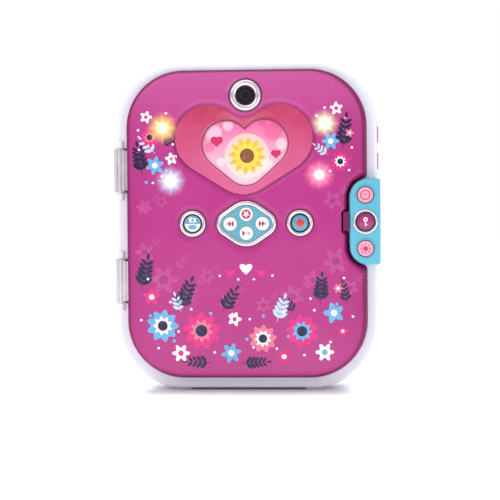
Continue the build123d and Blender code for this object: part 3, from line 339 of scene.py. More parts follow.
def mouldedFinish(name, colour, rough=0.3, coat=0.0, grain=0.5, drift=0.05, bite=0.12, **constants):
    # moulded plastic or rubber: slight colour drift, uneven gloss and a fine mould grain
    f = Finish(name, Coat_Weight=coat, Coat_Roughness=0.06, **constants)
    big, fine = f.noise(28.0, 3.0), f.noise(grain, 2.0)
    dark = tuple(v * (1 - 2.2 * drift) for v in colour)
    pale = tuple(min(1.0, v * (1 + drift) + 0.01) for v in colour)
    tone = f.mix(big.step(0.3, 0.7), dark, pale)
    return f.feed(Base_Color=tone, Roughness=(rough + (big - 0.5) * 0.12 + (fine - 0.5) * 0.1).held(),
                  Normal=f.bump(fine, bite, 0.02))


def metalFinish(name, colour, rough=0.2, stretch=(1, 1, 1), lines=0.35, bite=0.1, metal=1.0):
    # plated or ground metal: fine drawn lines, clouded roughness and faint dulling
    f = Finish(name, Metallic=metal)
    drawn, cloud = f.noise(lines, 3.0, 0.6, stretch), f.noise(9.0, 4.0)
    tone = f.mix(cloud.step(0.35, 0.75), colour, tuple(v * 0.84 for v in colour))
    return f.feed(Base_Color=tone, Roughness=(rough + (drawn - 0.5) * 0.16 + (cloud - 0.5) * 0.12).held(),
                  Normal=f.bump(drawn, bite, 0.01))


def dress(finish, *names):
    for name in names:
        data = nodes[name].data
        if not data.materials:
            data.materials.append(finish)
        for k in range(len(data.materials)):
            data.materials[k] = finish


view = {"distance": 1000.0, "aim": (3.1, -21.9, 98.2), "side": 4.0, "above": 1.2, "roll": -0.45, "height": 344.2,
        "sensor": 36.0, "clip": (0.05, 20.0)}


def makeCamera(s):
    data = bpy.data.cameras.new("viewCamera")
    data.sensor_width = s["sensor"]
    data.lens = s["sensor"] * s["distance"] / s["height"]
    data.clip_start, data.clip_end = s["clip"]
    camera = putObject("viewCamera", data)
    a, e = math.radians(s["side"]), math.radians(s["above"])
    back = Vector((math.sin(a) * math.cos(e), -math.cos(a) * math.cos(e), math.sin(e)))
    camera.location = (Vector(s["aim"]) + back * s["distance"]) * 0.001
    camera.rotation_mode = "QUATERNION"
    turn = (-back).to_track_quat("-Z", "Y")
    camera.rotation_quaternion = turn @ Matrix.Rotation(math.radians(s["roll"]), 4, "Z").to_quaternion()
    bpy.context.scene.camera = camera


lamps = {
    "key": {"at": (-650, -900, 900), "size": 900, "watts": 3.6, "tint": (1.0, 0.99, 0.98)},
    "fill": {"at": (800, -900, 350), "size": 1100, "watts": 1.9, "tint": (0.98, 0.99, 1.0)},
    "top": {"at": (100, -150, 1200), "size": 1000, "watts": 3.0, "tint": (1, 1, 1)},
    "rear": {"at": (-300, 1000, 700), "size": 900, "watts": 1.3, "tint": (1, 1, 1)},
}
worldSettings = {"light": 0.53, "seen": 1.0, "lampAim": (0, 0, 0.11)}


def makeLamps(s):
    for name, lamp in s.items():
        data = bpy.data.lights.new(name + "Lamp", "AREA")
        data.shape = "SQUARE"
        data.size, data.energy, data.color = lamp["size"] * 0.001, lamp["watts"], lamp["tint"]
        made, at = putObject(name + "Lamp", data), Vector(lamp["at"]) * 0.001
        made.location = at
        made.rotation_mode = "QUATERNION"
        made.rotation_quaternion = (Vector(worldSettings["lampAim"]) - at).to_track_quat("-Z", "Y")


def makeWorld(s):
    # a plain white surround, dimmer as a light than it is seen
    world = bpy.data.worlds.new("studioWorld")
    world.use_nodes = True
    tree = world.node_tree
    blend, path = tree.nodes.new("ShaderNodeMixShader"), tree.nodes.new("ShaderNodeLightPath")
    tree.links.new(path.outputs["Is Camera Ray"], blend.inputs[0])
    for k, back, strength in ((1, tree.nodes["Background"], s["light"]),
                              (2, tree.nodes.new("ShaderNodeBackground"), s["seen"])):
        back.inputs["Color"].default_value, back.inputs["Strength"].default_value = (1, 1, 1, 1), strength
        tree.links.new(back.outputs[0], blend.inputs[k])
    tree.links.new(blend.outputs[0], tree.nodes["World Output"].inputs["Surface"])
    bpy.context.scene.world = world
    bpy.context.scene.view_settings.view_transform = "Standard"


# dark: half sizes of the painted shadow under the object, where the floor has no glow; glowFade: how far outside it
# the glow comes in
floorSettings = {"half": 6000.0, "cells": 8, "colour": shade(252, 252, 253), "glow": 0.7, "glowFade": (6.0, 48.0),
                 "dark": (60.0, 14.0), "sideways": 2.0}


def makeFloor(s):
    # one plane with a faint mottle, glowing a little from itself except in a painted shadow under the object, where
    # the glow fades out
    n = s["cells"]
    u, v = np.meshgrid(np.linspace(-1, 1, n + 1), np.linspace(-1, 1, n + 1))
    verts = np.stack([u.ravel() * s["half"], v.ravel() * s["half"], np.zeros((n + 1) ** 2)], 1)
    i, j = np.meshgrid(np.arange(n), np.arange(n))
    k = (i * (n + 1) + j).ravel()
    floor = putMesh("studioFloor", verts, np.stack([k, k + 1, k + n + 2, k + n + 1], 1).tolist())
    f = Finish("floorPaint", Specular_IOR_Level=0.0, Roughness=0.9, Emission_Strength=s["glow"])
    cloud = f.noise(400.0, 2.0)
    x, y, _ = f.axes()
    # painted shadow: no glow within a box round the object, full glow further out
    across, deep = ((abs(x) - s["dark"][0]) * s["sideways"]).most(0.0), (abs(y) - s["dark"][1]).most(0.0)
    far = radial(across, deep).step(*s["glowFade"])
    floor.data.materials.append(f.feed(Base_Color=f.mix(cloud, s["colour"], tuple(v * 0.99 for v in s["colour"])),
                                       Emission_Color=f.mix(far, (0.0, 0.0, 0.0), (1.0, 1.0, 1.0))))


makeCamera(view)
makeLamps(lamps)
makeWorld(worldSettings)
makeFloor(floorSettings)
print("camera, lamps and floor made")


def joined(*masks):
    whole = masks[0]
    for mask in masks[1:]:
        whole = whole.most(mask)
    return whole


def discMask(x, z, radius, edge=0.09):
    # 1 within the radius
    return 1 - radial(x, z).step(radius - edge, radius + edge)


def barMask(x, z, halfX, halfZ, edge=0.09):
    return (1 - abs(x).step(halfX - edge, halfX + edge)) * (1 - abs(z).step(halfZ - edge, halfZ + edge))


def wedgeMask(x, z, length, half, edge=0.09):
    # triangle with its point towards +x
    reach = (x * (half / length) + abs(z)) - half * 0.5
    return (1 - reach.step(-edge, edge)) * (x + length * 0.5).step(-edge, edge)


def petalMask(x, z, radius, count, waist, turn=0.0, edge=0.1):
    # a star or flower: folded angle, then a straight edge from each tip to each waist
    slice = 2 * math.pi / count
    angle = z.math("ARCTAN2", x) + (turn + 8 * math.pi)
    folded = abs(angle.math("MODULO", slice) - slice / 2)
    r = radial(x, z)
    tipX, tipZ = radius * math.cos(slice / 2), radius * math.sin(slice / 2)
    run = math.hypot(tipX - waist, tipZ)
    nx, nz = tipZ / run, -(tipX - waist) / run
    gap = (r * folded.math("COSINE") - waist) * nx + r * folded.math("SINE") * nz
    return 1 - gap.step(-edge, edge)


def heartMask(x, z, size, edge=0.1):
    # two round lobes over a square stood on its corner
    lobes = discMask(abs(x) - size * 0.36, z - size * 0.2, size * 0.51, edge)
    square = 1 - (abs(x) + abs(z + size * 0.08)).step(size * 0.72 - edge, size * 0.72 + edge)
    return joined(lobes, square)


def printedFinish(name, colour, centre, marks, rough=0.22, coat=0.4):
    # a moulded key with ink marks, and painted shade where a shadow mark is given; marks says which and in what ink
    f = Finish(name, Coat_Weight=coat, Coat_Roughness=0.05)
    x, _, z = f.axes()
    x, z = x - centre[0], z - centre[1]
    cloud, fine = f.noise(5.0, 3.0), f.noise(0.4, 2.0)
    coats = [(keyMarks[mark](x, z), inks[ink]) for mark, ink in marks.items()]
    tone = f.layers(tuple(v * 0.93 for v in colour), (cloud.step(0.3, 0.7), colour), *coats)
    ink = joined(*(mask for mask, _ in coats))
    return f.feed(Base_Color=tone, Roughness=(rough + ink * 0.12 + (cloud - 0.5) * 0.1).held(),
                  Normal=f.bump(fine * 0.5 + ink, 0.18, 0.03))


inks = {"crimson": shade(205, 35, 95), "white": shade(250, 246, 250), "navy": shade(26, 16, 66),
        "hotPink": shade(224, 40, 132), "sky": shade(104, 176, 226), "coral": shade(232, 120, 150),
        "paleBlue": shade(190, 220, 240), "red": shade(222, 34, 22), "wine": shade(164, 24, 74),
        "lake": shade(84, 156, 184), "lagoon": shade(96, 176, 196), "slate": shade(70, 74, 84),
        "steelBlue": shade(58, 92, 112), "plum": shade(84, 16, 74), "blush": shade(250, 224, 240)}

print("shader kit ready")

# plain finishes of the frame's own nodes: colour; roughness, coat, grain, drift and bite; the nodes they cover
moulded = {
    "satinWhite": ((238, 238, 251), (0.34, 0.25, 0.7, 0.012), ("front_frame", "rear_shell", "battery_door")),
    "trayLilac": ((206, 178, 226), (0.48, 0.0, 0.5, 0.02, 0.3), ("storage_tray",)),
    "panelPink": ((236, 176, 212), (0.46, 0.0, 0.5, 0.02, 0.3), ("cover_panel",)),
    "tealPlastic": ((90, 186, 212), (0.24, 0.6, 0.8, 0.02), ("lock_housing",)),
    "padTeal": ((96, 170, 190), (0.28, 0.5, 0.8, 0.02), ("pad_panel",)),
    "rubberGrey": ((222, 218, 230), (0.62, 0.0, 0.35, 0.03, 0.4), ("feet",)),
    "flapPink": ((226, 84, 160), (0.52, 0.0, 0.35, 0.03, 0.35), ("usb_flap", "audio_flap")),
    "socketBlack": ((34, 33, 38), (0.5, 0.0, 0.4, 0.05, 0.3),
                    ("audio_socket", "camera_module", "lock_switches", "cover_switches")),
    "latchWhite": ((226, 226, 228), (0.36, 0.0, 0.5, 0.02), ("latch_bolt",)),
    "leadGrey": ((150, 150, 158), (0.5, 0.0, 0.3, 0.03, 0.4), ("base_lead", "cover_lead")),
}
# the same for metals: colour; roughness, stretch of the drawn lines, and their width in millimetres
metals = {
    "screwSteel": ((176, 176, 182), (0.3, (1, 1, 6), 0.2),
                   ("battery_door_screw", "case_screws", "board_screws", "cover_screws")),
    "groundSteel": ((196, 196, 202), (0.26, (1, 1, 0.08), 0.15),
                    ("latch_plunger", "latch_spring", "upper_hinge_pin", "lower_hinge_bushes")),
    "pressedSteel": ((172, 172, 178), (0.36, (0.1, 1, 1), 0.3), ("speaker_frame", "display_bracket")),
    "nickel": ((206, 204, 200), (0.22, (1, 8, 1), 0.3), ("battery_contacts", "usb_socket")),
    "wireWhite": ((232, 232, 238), (0.3, (1, 6, 1), 0.3), ("notebook_rings",)),
}
for make, table in ((mouldedFinish, moulded), (metalFinish, metals)):
    for name, (colour, values, covered) in table.items():
        dress(make(name, shade(*colour), *values), *covered)
dress(mouldedFinish("catchPurple", shade(122, 20, 84), 0.62, 0.0, 0.7, 0.05, Specular_IOR_Level=0.15), "catch_plate")
chromeTrim = metalFinish("chromeTrim", shade(240, 222, 236), 0.1, (1, 1, 1), 0.5, 0.04, 0.84)

bookSettings = {"left": -53.6, "foot": 82.4, "pitch": 21.0, "card": shade(240, 132, 182)}


def bookFinish(s):
    # card cover: rows of plain blossoms and dots, with a paler band, over pressed-paper fibre
    f = Finish("bookCard", Roughness=0.6)
    x, _, z = f.axes()
    fibre, cloud = f.noise(0.35, 4.0, 0.6, (1, 1, 0.3)), f.noise(14.0)
    pitch, up = s["pitch"], (z - s["foot"]) * (1 / s["pitch"])
    u = ((x - s["left"]) * (1 / pitch) + up.math("FLOOR") * 0.5).math("FRACT") * pitch - pitch / 2
    v = up.math("FRACT") * pitch - pitch / 2
    tone = f.layers(s["card"], (cloud.step(0.3, 0.7), tuple(c * 0.94 for c in s["card"])),
                    (petalMask(u, v, 5.4, 6, 3.4, 0.2, 0.2), inks["white"]),
                    (discMask(u, v, 1.7, 0.15), inks["hotPink"]),
                    (discMask(abs(u) - 8.4, abs(v) - 7.8, 1.0, 0.15), inks["sky"]),
                    (fibre.step(0.5, 0.9) * 0.12, (0.9, 0.85, 0.86)))
    return f.feed(Base_Color=tone, Roughness=0.5 + fibre * 0.2, Normal=f.bump(fibre, 0.25, 0.05))


def paperFinish():
    # stacked sheets: fine lines through the depth, a few darker
    f = Finish("pagePaper", Roughness=0.85)
    sheets, cloud = f.noise(0.22, 3.0, 0.6, (0.02, 1, 0.02)), f.noise(20.0)
    tone = f.layers(shade(250, 248, 240), (sheets.step(0.35, 0.75), shade(226, 221, 208)),
                    (cloud * 0.2, shade(240, 234, 220)))
    return f.feed(Base_Color=tone, Roughness=0.75 + sheets * 0.2, Normal=f.bump(sheets, 0.5, 0.06))


def boardFinish():
    # circuit board: lacquer over straight copper tracks and pale pads
    f = Finish("circuitBoard", Coat_Weight=0.3, Coat_Roughness=0.15)
    x, _, z = f.axes()
    wander, along = f.noise(9.0, 1.0), f.noise(7.0, 0.0)
    trackX = abs((x * 0.42 + wander.step(0.45, 0.55) * 0.5).math("FRACT") - 0.5)
    trackZ = abs((z * 0.42).math("FRACT") - 0.5)
    tracks = (1 - trackX.step(0.1, 0.16)) * along.step(0.5, 0.52)
    tracks = tracks + (1 - trackZ.step(0.1, 0.16)) * (1 - along.step(0.46, 0.48))
    pads = discMask((x * 0.18).math("FRACT") * 5.5 - 2.75, (z * 0.18).math("FRACT") * 5.5 - 2.75, 0.55)
    tone = f.layers(shade(18, 92, 62), (tracks.held(), shade(34, 122, 84)), (pads, shade(196, 190, 168)))
    return f.feed(Base_Color=tone, Roughness=0.34 + tracks * 0.06 + pads * 0.1, Metallic=pads * 0.8,
                  Normal=f.bump(tracks.held() + pads, 0.3, 0.05))


cellSettings = {"x": -12.0, "bare": (22.6, 22.9), "band": (9.6, 9.9)}


def cellFinish(s):
    # wrapped dry cell: two-tone sleeve, bare ends, light scuffs
    f = Finish("cellSleeve", Coat_Weight=0.2)
    x = f.axes()[0]
    along = x - s["x"]
    bare = abs(along).step(*s["bare"])
    scuff = f.noise(0.8, 4.0, 0.6, (0.2, 1, 1))
    tone = f.layers(shade(46, 120, 150), (along.step(*s["band"]), shade(222, 196, 120)),
                    (bare, shade(200, 200, 204)), (scuff.step(0.6, 0.85) * 0.35, shade(226, 230, 232)))
    return f.feed(Base_Color=tone, Metallic=bare * 0.9 + 0.05, Roughness=0.28 + scuff * 0.18,
                  Normal=f.bump(scuff, 0.15, 0.03))


def coilFinish():
    # enamelled wire wound across the bobbin: fine bands in x
    f = Finish("woundWire", Metallic=0.85)
    x = f.axes()[0]
    turns, cloud = (x * 18.0).math("SINE"), f.noise(2.0, 3.0)
    tone = f.layers(shade(120, 58, 34), (turns.step(-0.9, 0.9), shade(206, 122, 78)),
                    (cloud * 0.3, shade(160, 84, 50)))
    return f.feed(Base_Color=tone, Roughness=0.3 + cloud * 0.12, Normal=f.bump(turns, 0.6, 0.08))


coneSettings = {"x": 44.0, "z": 93.5}


def coneFinish(s):
    # pressed paper cone: faint rings and fibre
    f = Finish("coneFibre", Roughness=0.8)
    x, _, z = f.axes()
    rings, fibre = (radial(x - s["x"], z - s["z"]) * 2.4).math("SINE"), f.noise(0.6, 4.0)
    return f.feed(Base_Color=f.mix(fibre, shade(30, 30, 33), shade(58, 56, 60)), Roughness=0.7 + fibre * 0.2,
                  Normal=f.bump(rings + fibre, 0.5, 0.15))


def clearFinish(name, tint, rough=0.05, ior=1.47):
    # clear moulding: near colourless, with faint flow lines
    f = Finish(name, Transmission_Weight=1.0, IOR=ior)
    flow = f.noise(3.0, 3.0, 0.5, (1, 1, 0.12))
    return f.feed(Base_Color=f.mix(flow, tint, (0.99, 0.99, 1.0)), Roughness=(rough + (flow - 0.5) * 0.06).held(),
                  Normal=f.bump(flow, 0.25, 0.12))


def lensFinish(s):
    # camera window: near black with dim coloured rings and a painted pale glint round the pupil
    f = Finish("lensGlass", Coat_Weight=0.25, Coat_Roughness=0.02, Specular_IOR_Level=0.25)
    x, _, z = f.axes()
    r, haze = radial(x - s["x"], z - s["z"]), f.noise(3.0, 2.0)
    rings = (r * 2.6).math("SINE").step(0.2, 1.0)
    tone = f.layers(shade(14, 11, 15), (rings * 0.4, shade(38, 24, 42)),
                    # painted glint: a pale ring round the pupil
                    ((1 - abs(r - 3.2).step(0.0, 0.5)) * 0.5, shade(70, 52, 76)),
                    (1 - r.step(1.2, 1.8), (0.002, 0.002, 0.003)))
    return f.feed(Base_Color=tone, Roughness=0.08 + haze * 0.1, Normal=f.bump(haze, 0.05, 0.02))


screenSettings = {
    "x": 0.2, "z": 165.2, "glow": 0.42,
    "discs": [(-22, 14, 5.5, "white"), (-12, 19, 3.6, "white"), (19, 15, 6.5, "hotPink"), (25, 6, 4.0, "white"),
              (12, 21, 3.0, "hotPink"), (-25, 4, 3.4, "hotPink"), (15, -9, 4.2, "white"), (-17, -6, 3.0, "white")],
    "hearts": [(-20, 8, 5.0), (21, -1, 4.0)],
}


def screenFinish(s):
    # a lit pattern: pink gradient, soft discs, two hearts and one big yellow blossom
    f = Finish("litPicture", Coat_Weight=0.5, Coat_Roughness=0.08, Emission_Strength=s["glow"])
    x, _, z = f.axes()
    x, z = x - s["x"], z - s["z"]
    u, v, seeds, dots = x - 1, z + 2, f.noise(0.9, 1.0), f.noise(0.5, 0.0)
    tone = f.layers(shade(250, 206, 222), (z.step(-24, 22), shade(236, 120, 168)),
                    *((discMask(x - cx, z - cz, r, r * 0.22) * 0.45, inks[ink]) for cx, cz, r, ink in s["discs"]),
                    (discMask(u, v, 15.5, 0.5) * 0.55, shade(255, 236, 200)),
                    (petalMask(u, v, 13.5, 12, 9.0, 0.1, 0.3), shade(246, 190, 40)),
                    (petalMask(u, v, 11.0, 12, 7.0, 0.36, 0.3), shade(252, 214, 84)),
                    (discMask(u, v, 5.0, 0.3), shade(122, 70, 34)),
                    (discMask(u, v, 4.4, 0.3) * seeds.step(0.5, 0.6), shade(176, 112, 54)),
                    *((heartMask(x - cx, z - cz, size, 0.2), inks["crimson"]) for cx, cz, size in s["hearts"]))
    return f.feed(Base_Color=tone, Emission_Color=tone, Roughness=0.14 + dots * 0.08, Normal=f.bump(dots, 0.05, 0.01))


def lampFinish(name, colour, strength):
    # lit lens, with a faint paler mottle
    f = Finish(name, Coat_Weight=0.6, Emission_Strength=strength)
    cloud = f.noise(1.2, 2.0)
    tone = f.mix(cloud * 0.3, colour, (1, 1, 1))
    return f.feed(Base_Color=tone, Emission_Color=tone, Roughness=0.15 + cloud * 0.1)


def hingeFinish():
    # smoky clear plastic, with painted reflections: upright streaks of light and dark, drawn out along the barrel
    f = Finish("hingeSmoke", Metallic=0.3, Coat_Weight=0.7, Coat_Roughness=0.05)
    x = f.axes()[0]
    drawn, cloud = f.noise(0.9, 3.0, 0.6, (1, 1, 0.05)), f.noise(7.0, 3.0)
    # painted reflections: upright light and dark streaks
    reflectionStreak = ((x + drawn * 1.2) * 2.3).math("SINE").step(-0.1, 0.9)
    tone = f.layers(shade(216, 210, 216), (reflectionStreak * 0.62, shade(134, 126, 134)),
                    (cloud.step(0.4, 0.7) * 0.25, shade(236, 232, 238)))
    return f.feed(Base_Color=tone, Roughness=(0.2 + (cloud - 0.5) * 0.14).held(), Normal=f.bump(drawn, 0.2, 0.03))


cameraSpot = {"x": 0.6, "z": 204.6, "ring": 10.85, "band": 4.2, "cone": 3.6, "window": 6.9, "lip": 0.6, "steps": 6,
              "from": -21.55, "deep": 1.0, "back": -19.2}
for finish, *covered in (
        (bookFinish(bookSettings), "notebook_covers"), (paperFinish(), "notebook_pages"),
        (cellFinish(cellSettings), "battery_cells"), (coneFinish(coneSettings), "speaker_cone"),
        (boardFinish(), "base_board", "main_board", "lock_board"), (coilFinish(), "lock_coil"),
        (hingeFinish(), "upper_hinge", "lower_hinge"), (screenFinish(screenSettings), "display_screen"),
        (clearFinish("clearWindow", (0.97, 0.96, 0.98), 0.02, 1.2), "heart_window"),
        (lensFinish(cameraSpot), "camera_window")):
    dress(finish, *covered)
print("frame nodes dressed")

heart = {"x": -1.0, "lobeX": 24.3, "lobeZ": 175.0, "lobeRadius": 23.5, "tipZ": 161.5, "tipRadius": 25.0,
         "sideRadius": 900.0, "turn": 0.0, "hollowZ": 204.6}
window = {"x": 0.2, "lobeX": 13.2, "lobeZ": 171.2, "lobeRadius": 16.8, "tipZ": 157.4, "tipRadius": 15.0,
          "sideRadius": 900.0, "turn": 1.5, "hollowZ": None}
pad = {"x": 0.7, "z": 116.3, "sideReach": 11.5, "sideRound": 9.0, "tipReach": 0.6, "tipRound": 15.0, "ringWidth": 2.6}
sideKeys = {"photo": (-36.5, 116.5), "record": (37.6, 116.5), "ring": 8.9, "ringWidth": 2.2, "rise": 1.15}
lock = {"left": 71.75, "z": 117.1, "half": 29.6, "corner": 12.8, "buttonX": 82.5, "step": 18.4}

heartOuter, heartInner = heartPath(heart, 400), heartPath(window, 400)
padPath = hullPath([(pad["x"] + side * pad["sideReach"], pad["z"], pad["sideRound"]) for side in (1, -1)]
                   + [(pad["x"], pad["z"] + side * pad["tipReach"], pad["tipRound"]) for side in (1, -1)], 200)
heartTable = polarTable(heartOuter, (heart["x"], 165.0))
padTable = polarTable(padPath, (pad["x"], pad["z"]))

cover = {"width": 167.6, "height": 214.6, "corner": 40.0, "taper": 12.0, "edge": 3.6, "spokes": 420, "rings": 92,
         "wall": 2.0, "notchGap": 0.6, "notchMouth": 2.5, "catchX": 67.05, "catchZ": 117.3, "catchHalf": 6.8,
         "catchCorner": 0.6, "catchSlope": 3.0, "boss": 0.75, "bossFade": (11.2, 14.4), "heartDip": 1.65,
         "heartFade": (-3.8, 0.3), "heartStep": (1.4, 0.3, 1.6), "keyDip": 0.5, "padFade": (-3.6, -1.9),
         "ringFade": (-3.2, -1.6), "keyStep": (0.9, 0.3, 1.3), "far": 30.0,
         "rows": (0.9, 1.8, 2.1, 2.4, 2.8, 3.2, 3.7, 4.3, 5.0, 5.8, 6.8),
         "heartHole": 1.5, "padHole": 1.3, "cameraHole": 1.5, "ringHole": 1.2}


def boxDepth(x, z, cx, cz, halfX, halfZ, corner):
    # distance inside a rectangle with round corners
    qx, qz = np.abs(x - cx) - halfX + corner, np.abs(z - cz) - halfZ + corner
    return corner - np.hypot(np.maximum(qx, 0), np.maximum(qz, 0)) - np.minimum(np.maximum(qx, qz), 0)


def coverDepth(x, z, s=cover):
    # distance inside the cover's outline: rounded rectangle, less the lock's notch and the catch's slot
    body = boxDepth(x, z, 0.0, levels["coverCentreZ"], s["width"] / 2, s["height"] / 2, s["corner"])
    notch = -boxDepth(x, z, lock["left"] + 60, lock["z"], 60, lock["half"], lock["corner"]) - s["notchGap"]
    slot = -boxDepth(x, z, s["catchX"] + 20, s["catchZ"], 20, s["catchHalf"], s["catchCorner"])
    r = s["notchMouth"]
    near = np.minimum(body, notch)
    rounded = r - np.hypot(np.maximum(r - body, 0), np.maximum(r - notch, 0))
    return np.minimum(np.where(near > r, near, rounded), slot * s["catchSlope"])


def ringDepth(key, x, z):
    return sideKeys["ring"] - np.hypot(x - sideKeys[key][0], z - sideKeys[key][1])


def coverFace(x, z, depth, s=cover):
    # tapered wall, then an arc, then the ball; with a boss, a sunk heart and sunk beds round the keys
    taper, r = math.radians(s["taper"]), s["edge"]
    t, top = math.tan(taper), levels["coverBack"] - crown(x, z)
    wallEnd = t * (top - r + r * math.sin(taper))
    arcEnd = wallEnd + r * math.cos(taper)
    arc = top - r + np.sqrt(np.maximum(r * r - (arcEnd - depth) ** 2, 0))
    y = levels["coverBack"] - np.where(depth < wallEnd, depth / t, np.where(depth < arcEnd, arc, top))
    y = y - s["boss"] * (1 - soft(np.hypot(x - cameraSpot["x"], z - cameraSpot["z"]), *s["bossFade"]))
    beds = [(depthInside(heartTable, x, z), s["heartDip"], s["heartFade"], s["heartStep"]),
            (depthInside(padTable, x, z), s["keyDip"], s["padFade"], s["keyStep"])]
    beds += [(ringDepth(key, x, z), s["keyDip"], s["ringFade"], s["keyStep"]) for key in ("photo", "record")]
    for inside, dip, fade, (deep, *edge) in beds:
        y = y + dip * soft(inside, *fade) + deep * soft(inside, *edge)
    return y


def flatFace(x, z):
    # the same face well inside the edge
    return coverFace(x, z, np.full(np.shape(x), cover["far"]))


def halved(low, high, inside, turns):
    # closes in on where inside changes from true to false between low and high
    for _ in range(turns):
        middle = (low + high) / 2
        now = inside(middle)
        low, high = np.where(now, middle, low), np.where(now, high, middle)
    return low, high


def makeCover(s, finish):
    # spokes from the middle to even steps of the outline; rings at set depths near the edge, then evenly inwards
    cx, cz = 0.0, levels["coverCentreZ"]
    turn = np.linspace(0, 2 * np.pi, 9000, endpoint=False)
    low = halved(np.zeros(9000), np.full(9000, 150.0),
                 lambda r: coverDepth(cx + r * np.cos(turn), cz + r * np.sin(turn)) > 0, 40)[0]
    edge = resample(np.stack([cx + low * np.cos(turn), cz + low * np.sin(turn)], 1), s["spokes"])
    spoke = edge - [cx, cz]
    shares = [np.ones(s["spokes"])]
    for depth in s["rows"]:
        shares.append(halved(np.full(s["spokes"], 0.6), shares[-1],
                             lambda k: coverDepth(cx + spoke[:, 0] * k, cz + spoke[:, 1] * k) > depth, 30)[0])
    inner = np.linspace(1, 0.02, s["rings"] + 1)[1:]
    shares = np.vstack([shares, shares[-1][None, :] * inner[:, None]])
    x, z = cx + spoke[:, 0] * shares, cz + spoke[:, 1] * shares
    y = coverFace(x, z, np.maximum(coverDepth(x, z), 0))
    verts = np.stack([x, y, z], -1).reshape(-1, 3)
    faces = np.array(loftFaces(*x.shape))
    mid = verts[faces].mean(1)
    mx, mz = mid[:, 0], mid[:, 2]
    hole = (depthInside(heartTable, mx, mz) > s["heartHole"]) | (depthInside(padTable, mx, mz) > s["padHole"])
    hole |= np.hypot(mx - cameraSpot["x"], mz - cameraSpot["z"]) < cameraSpot["ring"] - s["cameraHole"]
    for key in ("photo", "record"):
        hole |= ringDepth(key, mx, mz) > s["ringHole"]
    used, faces = np.unique(faces[~hole], return_inverse=True)
    piece = putPiece("coverFace", verts[used], faces.reshape(-1, 4).tolist(), "cover", finish,
                     replaces=["cover_shell"], slot="cover_magenta", toward=(0, -1, 0))
    wall = piece.modifiers.new("wall", "SOLIDIFY")
    wall.thickness, wall.offset, wall.use_even_offset = s["wall"] * 0.001, -1.0, False


# wall: the depths over which the cover's side wall darkens into painted shade
coverPaint = {"wall": (-21.5, -19.4), "bend": -0.000167, "centreZ": 116.0}


def coverFinish(s):
    # glossy magenta: a little warmer above, paler at the top as a painted sheen and a little paler near the bottom,
    # with painted shade darkening the side wall, and fine orange peel
    f = Finish("coverMagenta", Coat_Roughness=0.07, Specular_IOR_Level=0.12)
    _, y, z = f.axes()
    cloud, peel, fine = f.noise(46.0, 2.0), f.noise(1.8, 2.0), f.noise(0.35, 2.0)
    up = z - s["centreZ"]
    # painted shade: the side wall darkens behind the face's edge
    wallShadeShare = (y + up * up * s["bend"]).step(*s["wall"])
    tone = f.layers(shade(180, 46, 130), (z.step(5, 225), shade(182, 54, 134)),
                    (cloud.step(0.3, 0.7) * 0.3, shade(188, 66, 142)),
                    # painted sheen: paler near the top; also a little paler near the bottom
                    (z.step(165, 226) * 0.3 + (1 - z.step(8, 60)) * 0.12, shade(220, 124, 180)),
                    (wallShadeShare * 0.94, shade(128, 24, 86)))
    return f.feed(Base_Color=tone, Coat_Weight=(0.5 - wallShadeShare * 0.5).held(),
                  Roughness=(0.27 + wallShadeShare * 0.3 + (cloud - 0.5) * 0.08 + (fine - 0.5) * 0.08).held(),
                  Normal=f.bump(peel + fine * 0.3, 0.07, 0.05))


heartDish = {"depth": 1.72, "sink": 0.75, "lip": 0.4, "rows": 44, "back": -17.0, "grow": -0.8, "rim": -18.4}


def heartFinish():
    # glossy coral, darker towards the lobes as painted shade of the dish's upper slope, and paler at the sides
    f = Finish("heartCoral", Coat_Weight=0.9, Coat_Roughness=0.06)
    x, _, z = f.axes()
    cloud, fine = f.noise(18.0, 2.0), f.noise(0.4, 2.0)
    # painted shade: darker towards the lobes
    tone = f.layers(shade(218, 94, 146), (z.step(138, 202), shade(184, 22, 82)),
                    (abs(x - heart["x"]).step(14, 46) * 0.25, shade(212, 76, 126)),
                    (cloud.step(0.35, 0.7) * 0.12, shade(232, 130, 164)))
    return f.feed(Base_Color=tone, Roughness=(0.22 + (cloud - 0.5) * 0.1 + (fine - 0.5) * 0.08).held(),
                  Normal=f.bump(fine, 0.1, 0.02))


def makeHeart(s, finish):
    # a dished band between the outer heart and the window: straight lines across, sinking inwards to a raised lip
    v = np.concatenate([[-0.03], np.linspace(0, 1, s["rows"])])[:, None, None]
    flat = heartOuter[None] * (1 - v) + heartInner[None] * v
    v = np.clip(v[:, :, 0], 0, 1)
    lip = s["lip"] * soft(v, 0.9, 0.97) * (1 - 0.6 * soft(v, 0.985, 1))
    y = crown(flat[:, :, 0], flat[:, :, 1]) + s["depth"] + s["sink"] * v ** 1.6 - lip
    y = y + 0.5 * (np.arange(len(v)) == 0)[:, None]
    inner = [ring3(heartInner, level) for level in (levels["lensFront"] + 0.1, s["back"])]
    outer = [ring3(inset(heartOuter, s["grow"]), level) for level in (s["back"], s["rim"])]
    rings = np.concatenate([ring3(flat, y), np.stack(inner + outer)])
    return loft("heartDish", rings, "cover", finish, loop=True, hard=55, replaces=["heart_bezel"], slot="heart_coral")


makeCover(cover, coverFinish(coverPaint))
makeHeart(heartDish, heartFinish())
# painted shade: a dark band round the window, where the window's edge lies in shade
windowEdgeShade = mouldedFinish("windowEdgeShade", shade(136, 30, 78), 0.4, 0.2, 0.5, 0.04)
trimRing("windowShadeBand", inset(heartInner, -0.15), 0.8, -19.35, -18.7, "cover", windowEdgeShade, 0.25, slot="heart_coral")
print("cover and heart made")


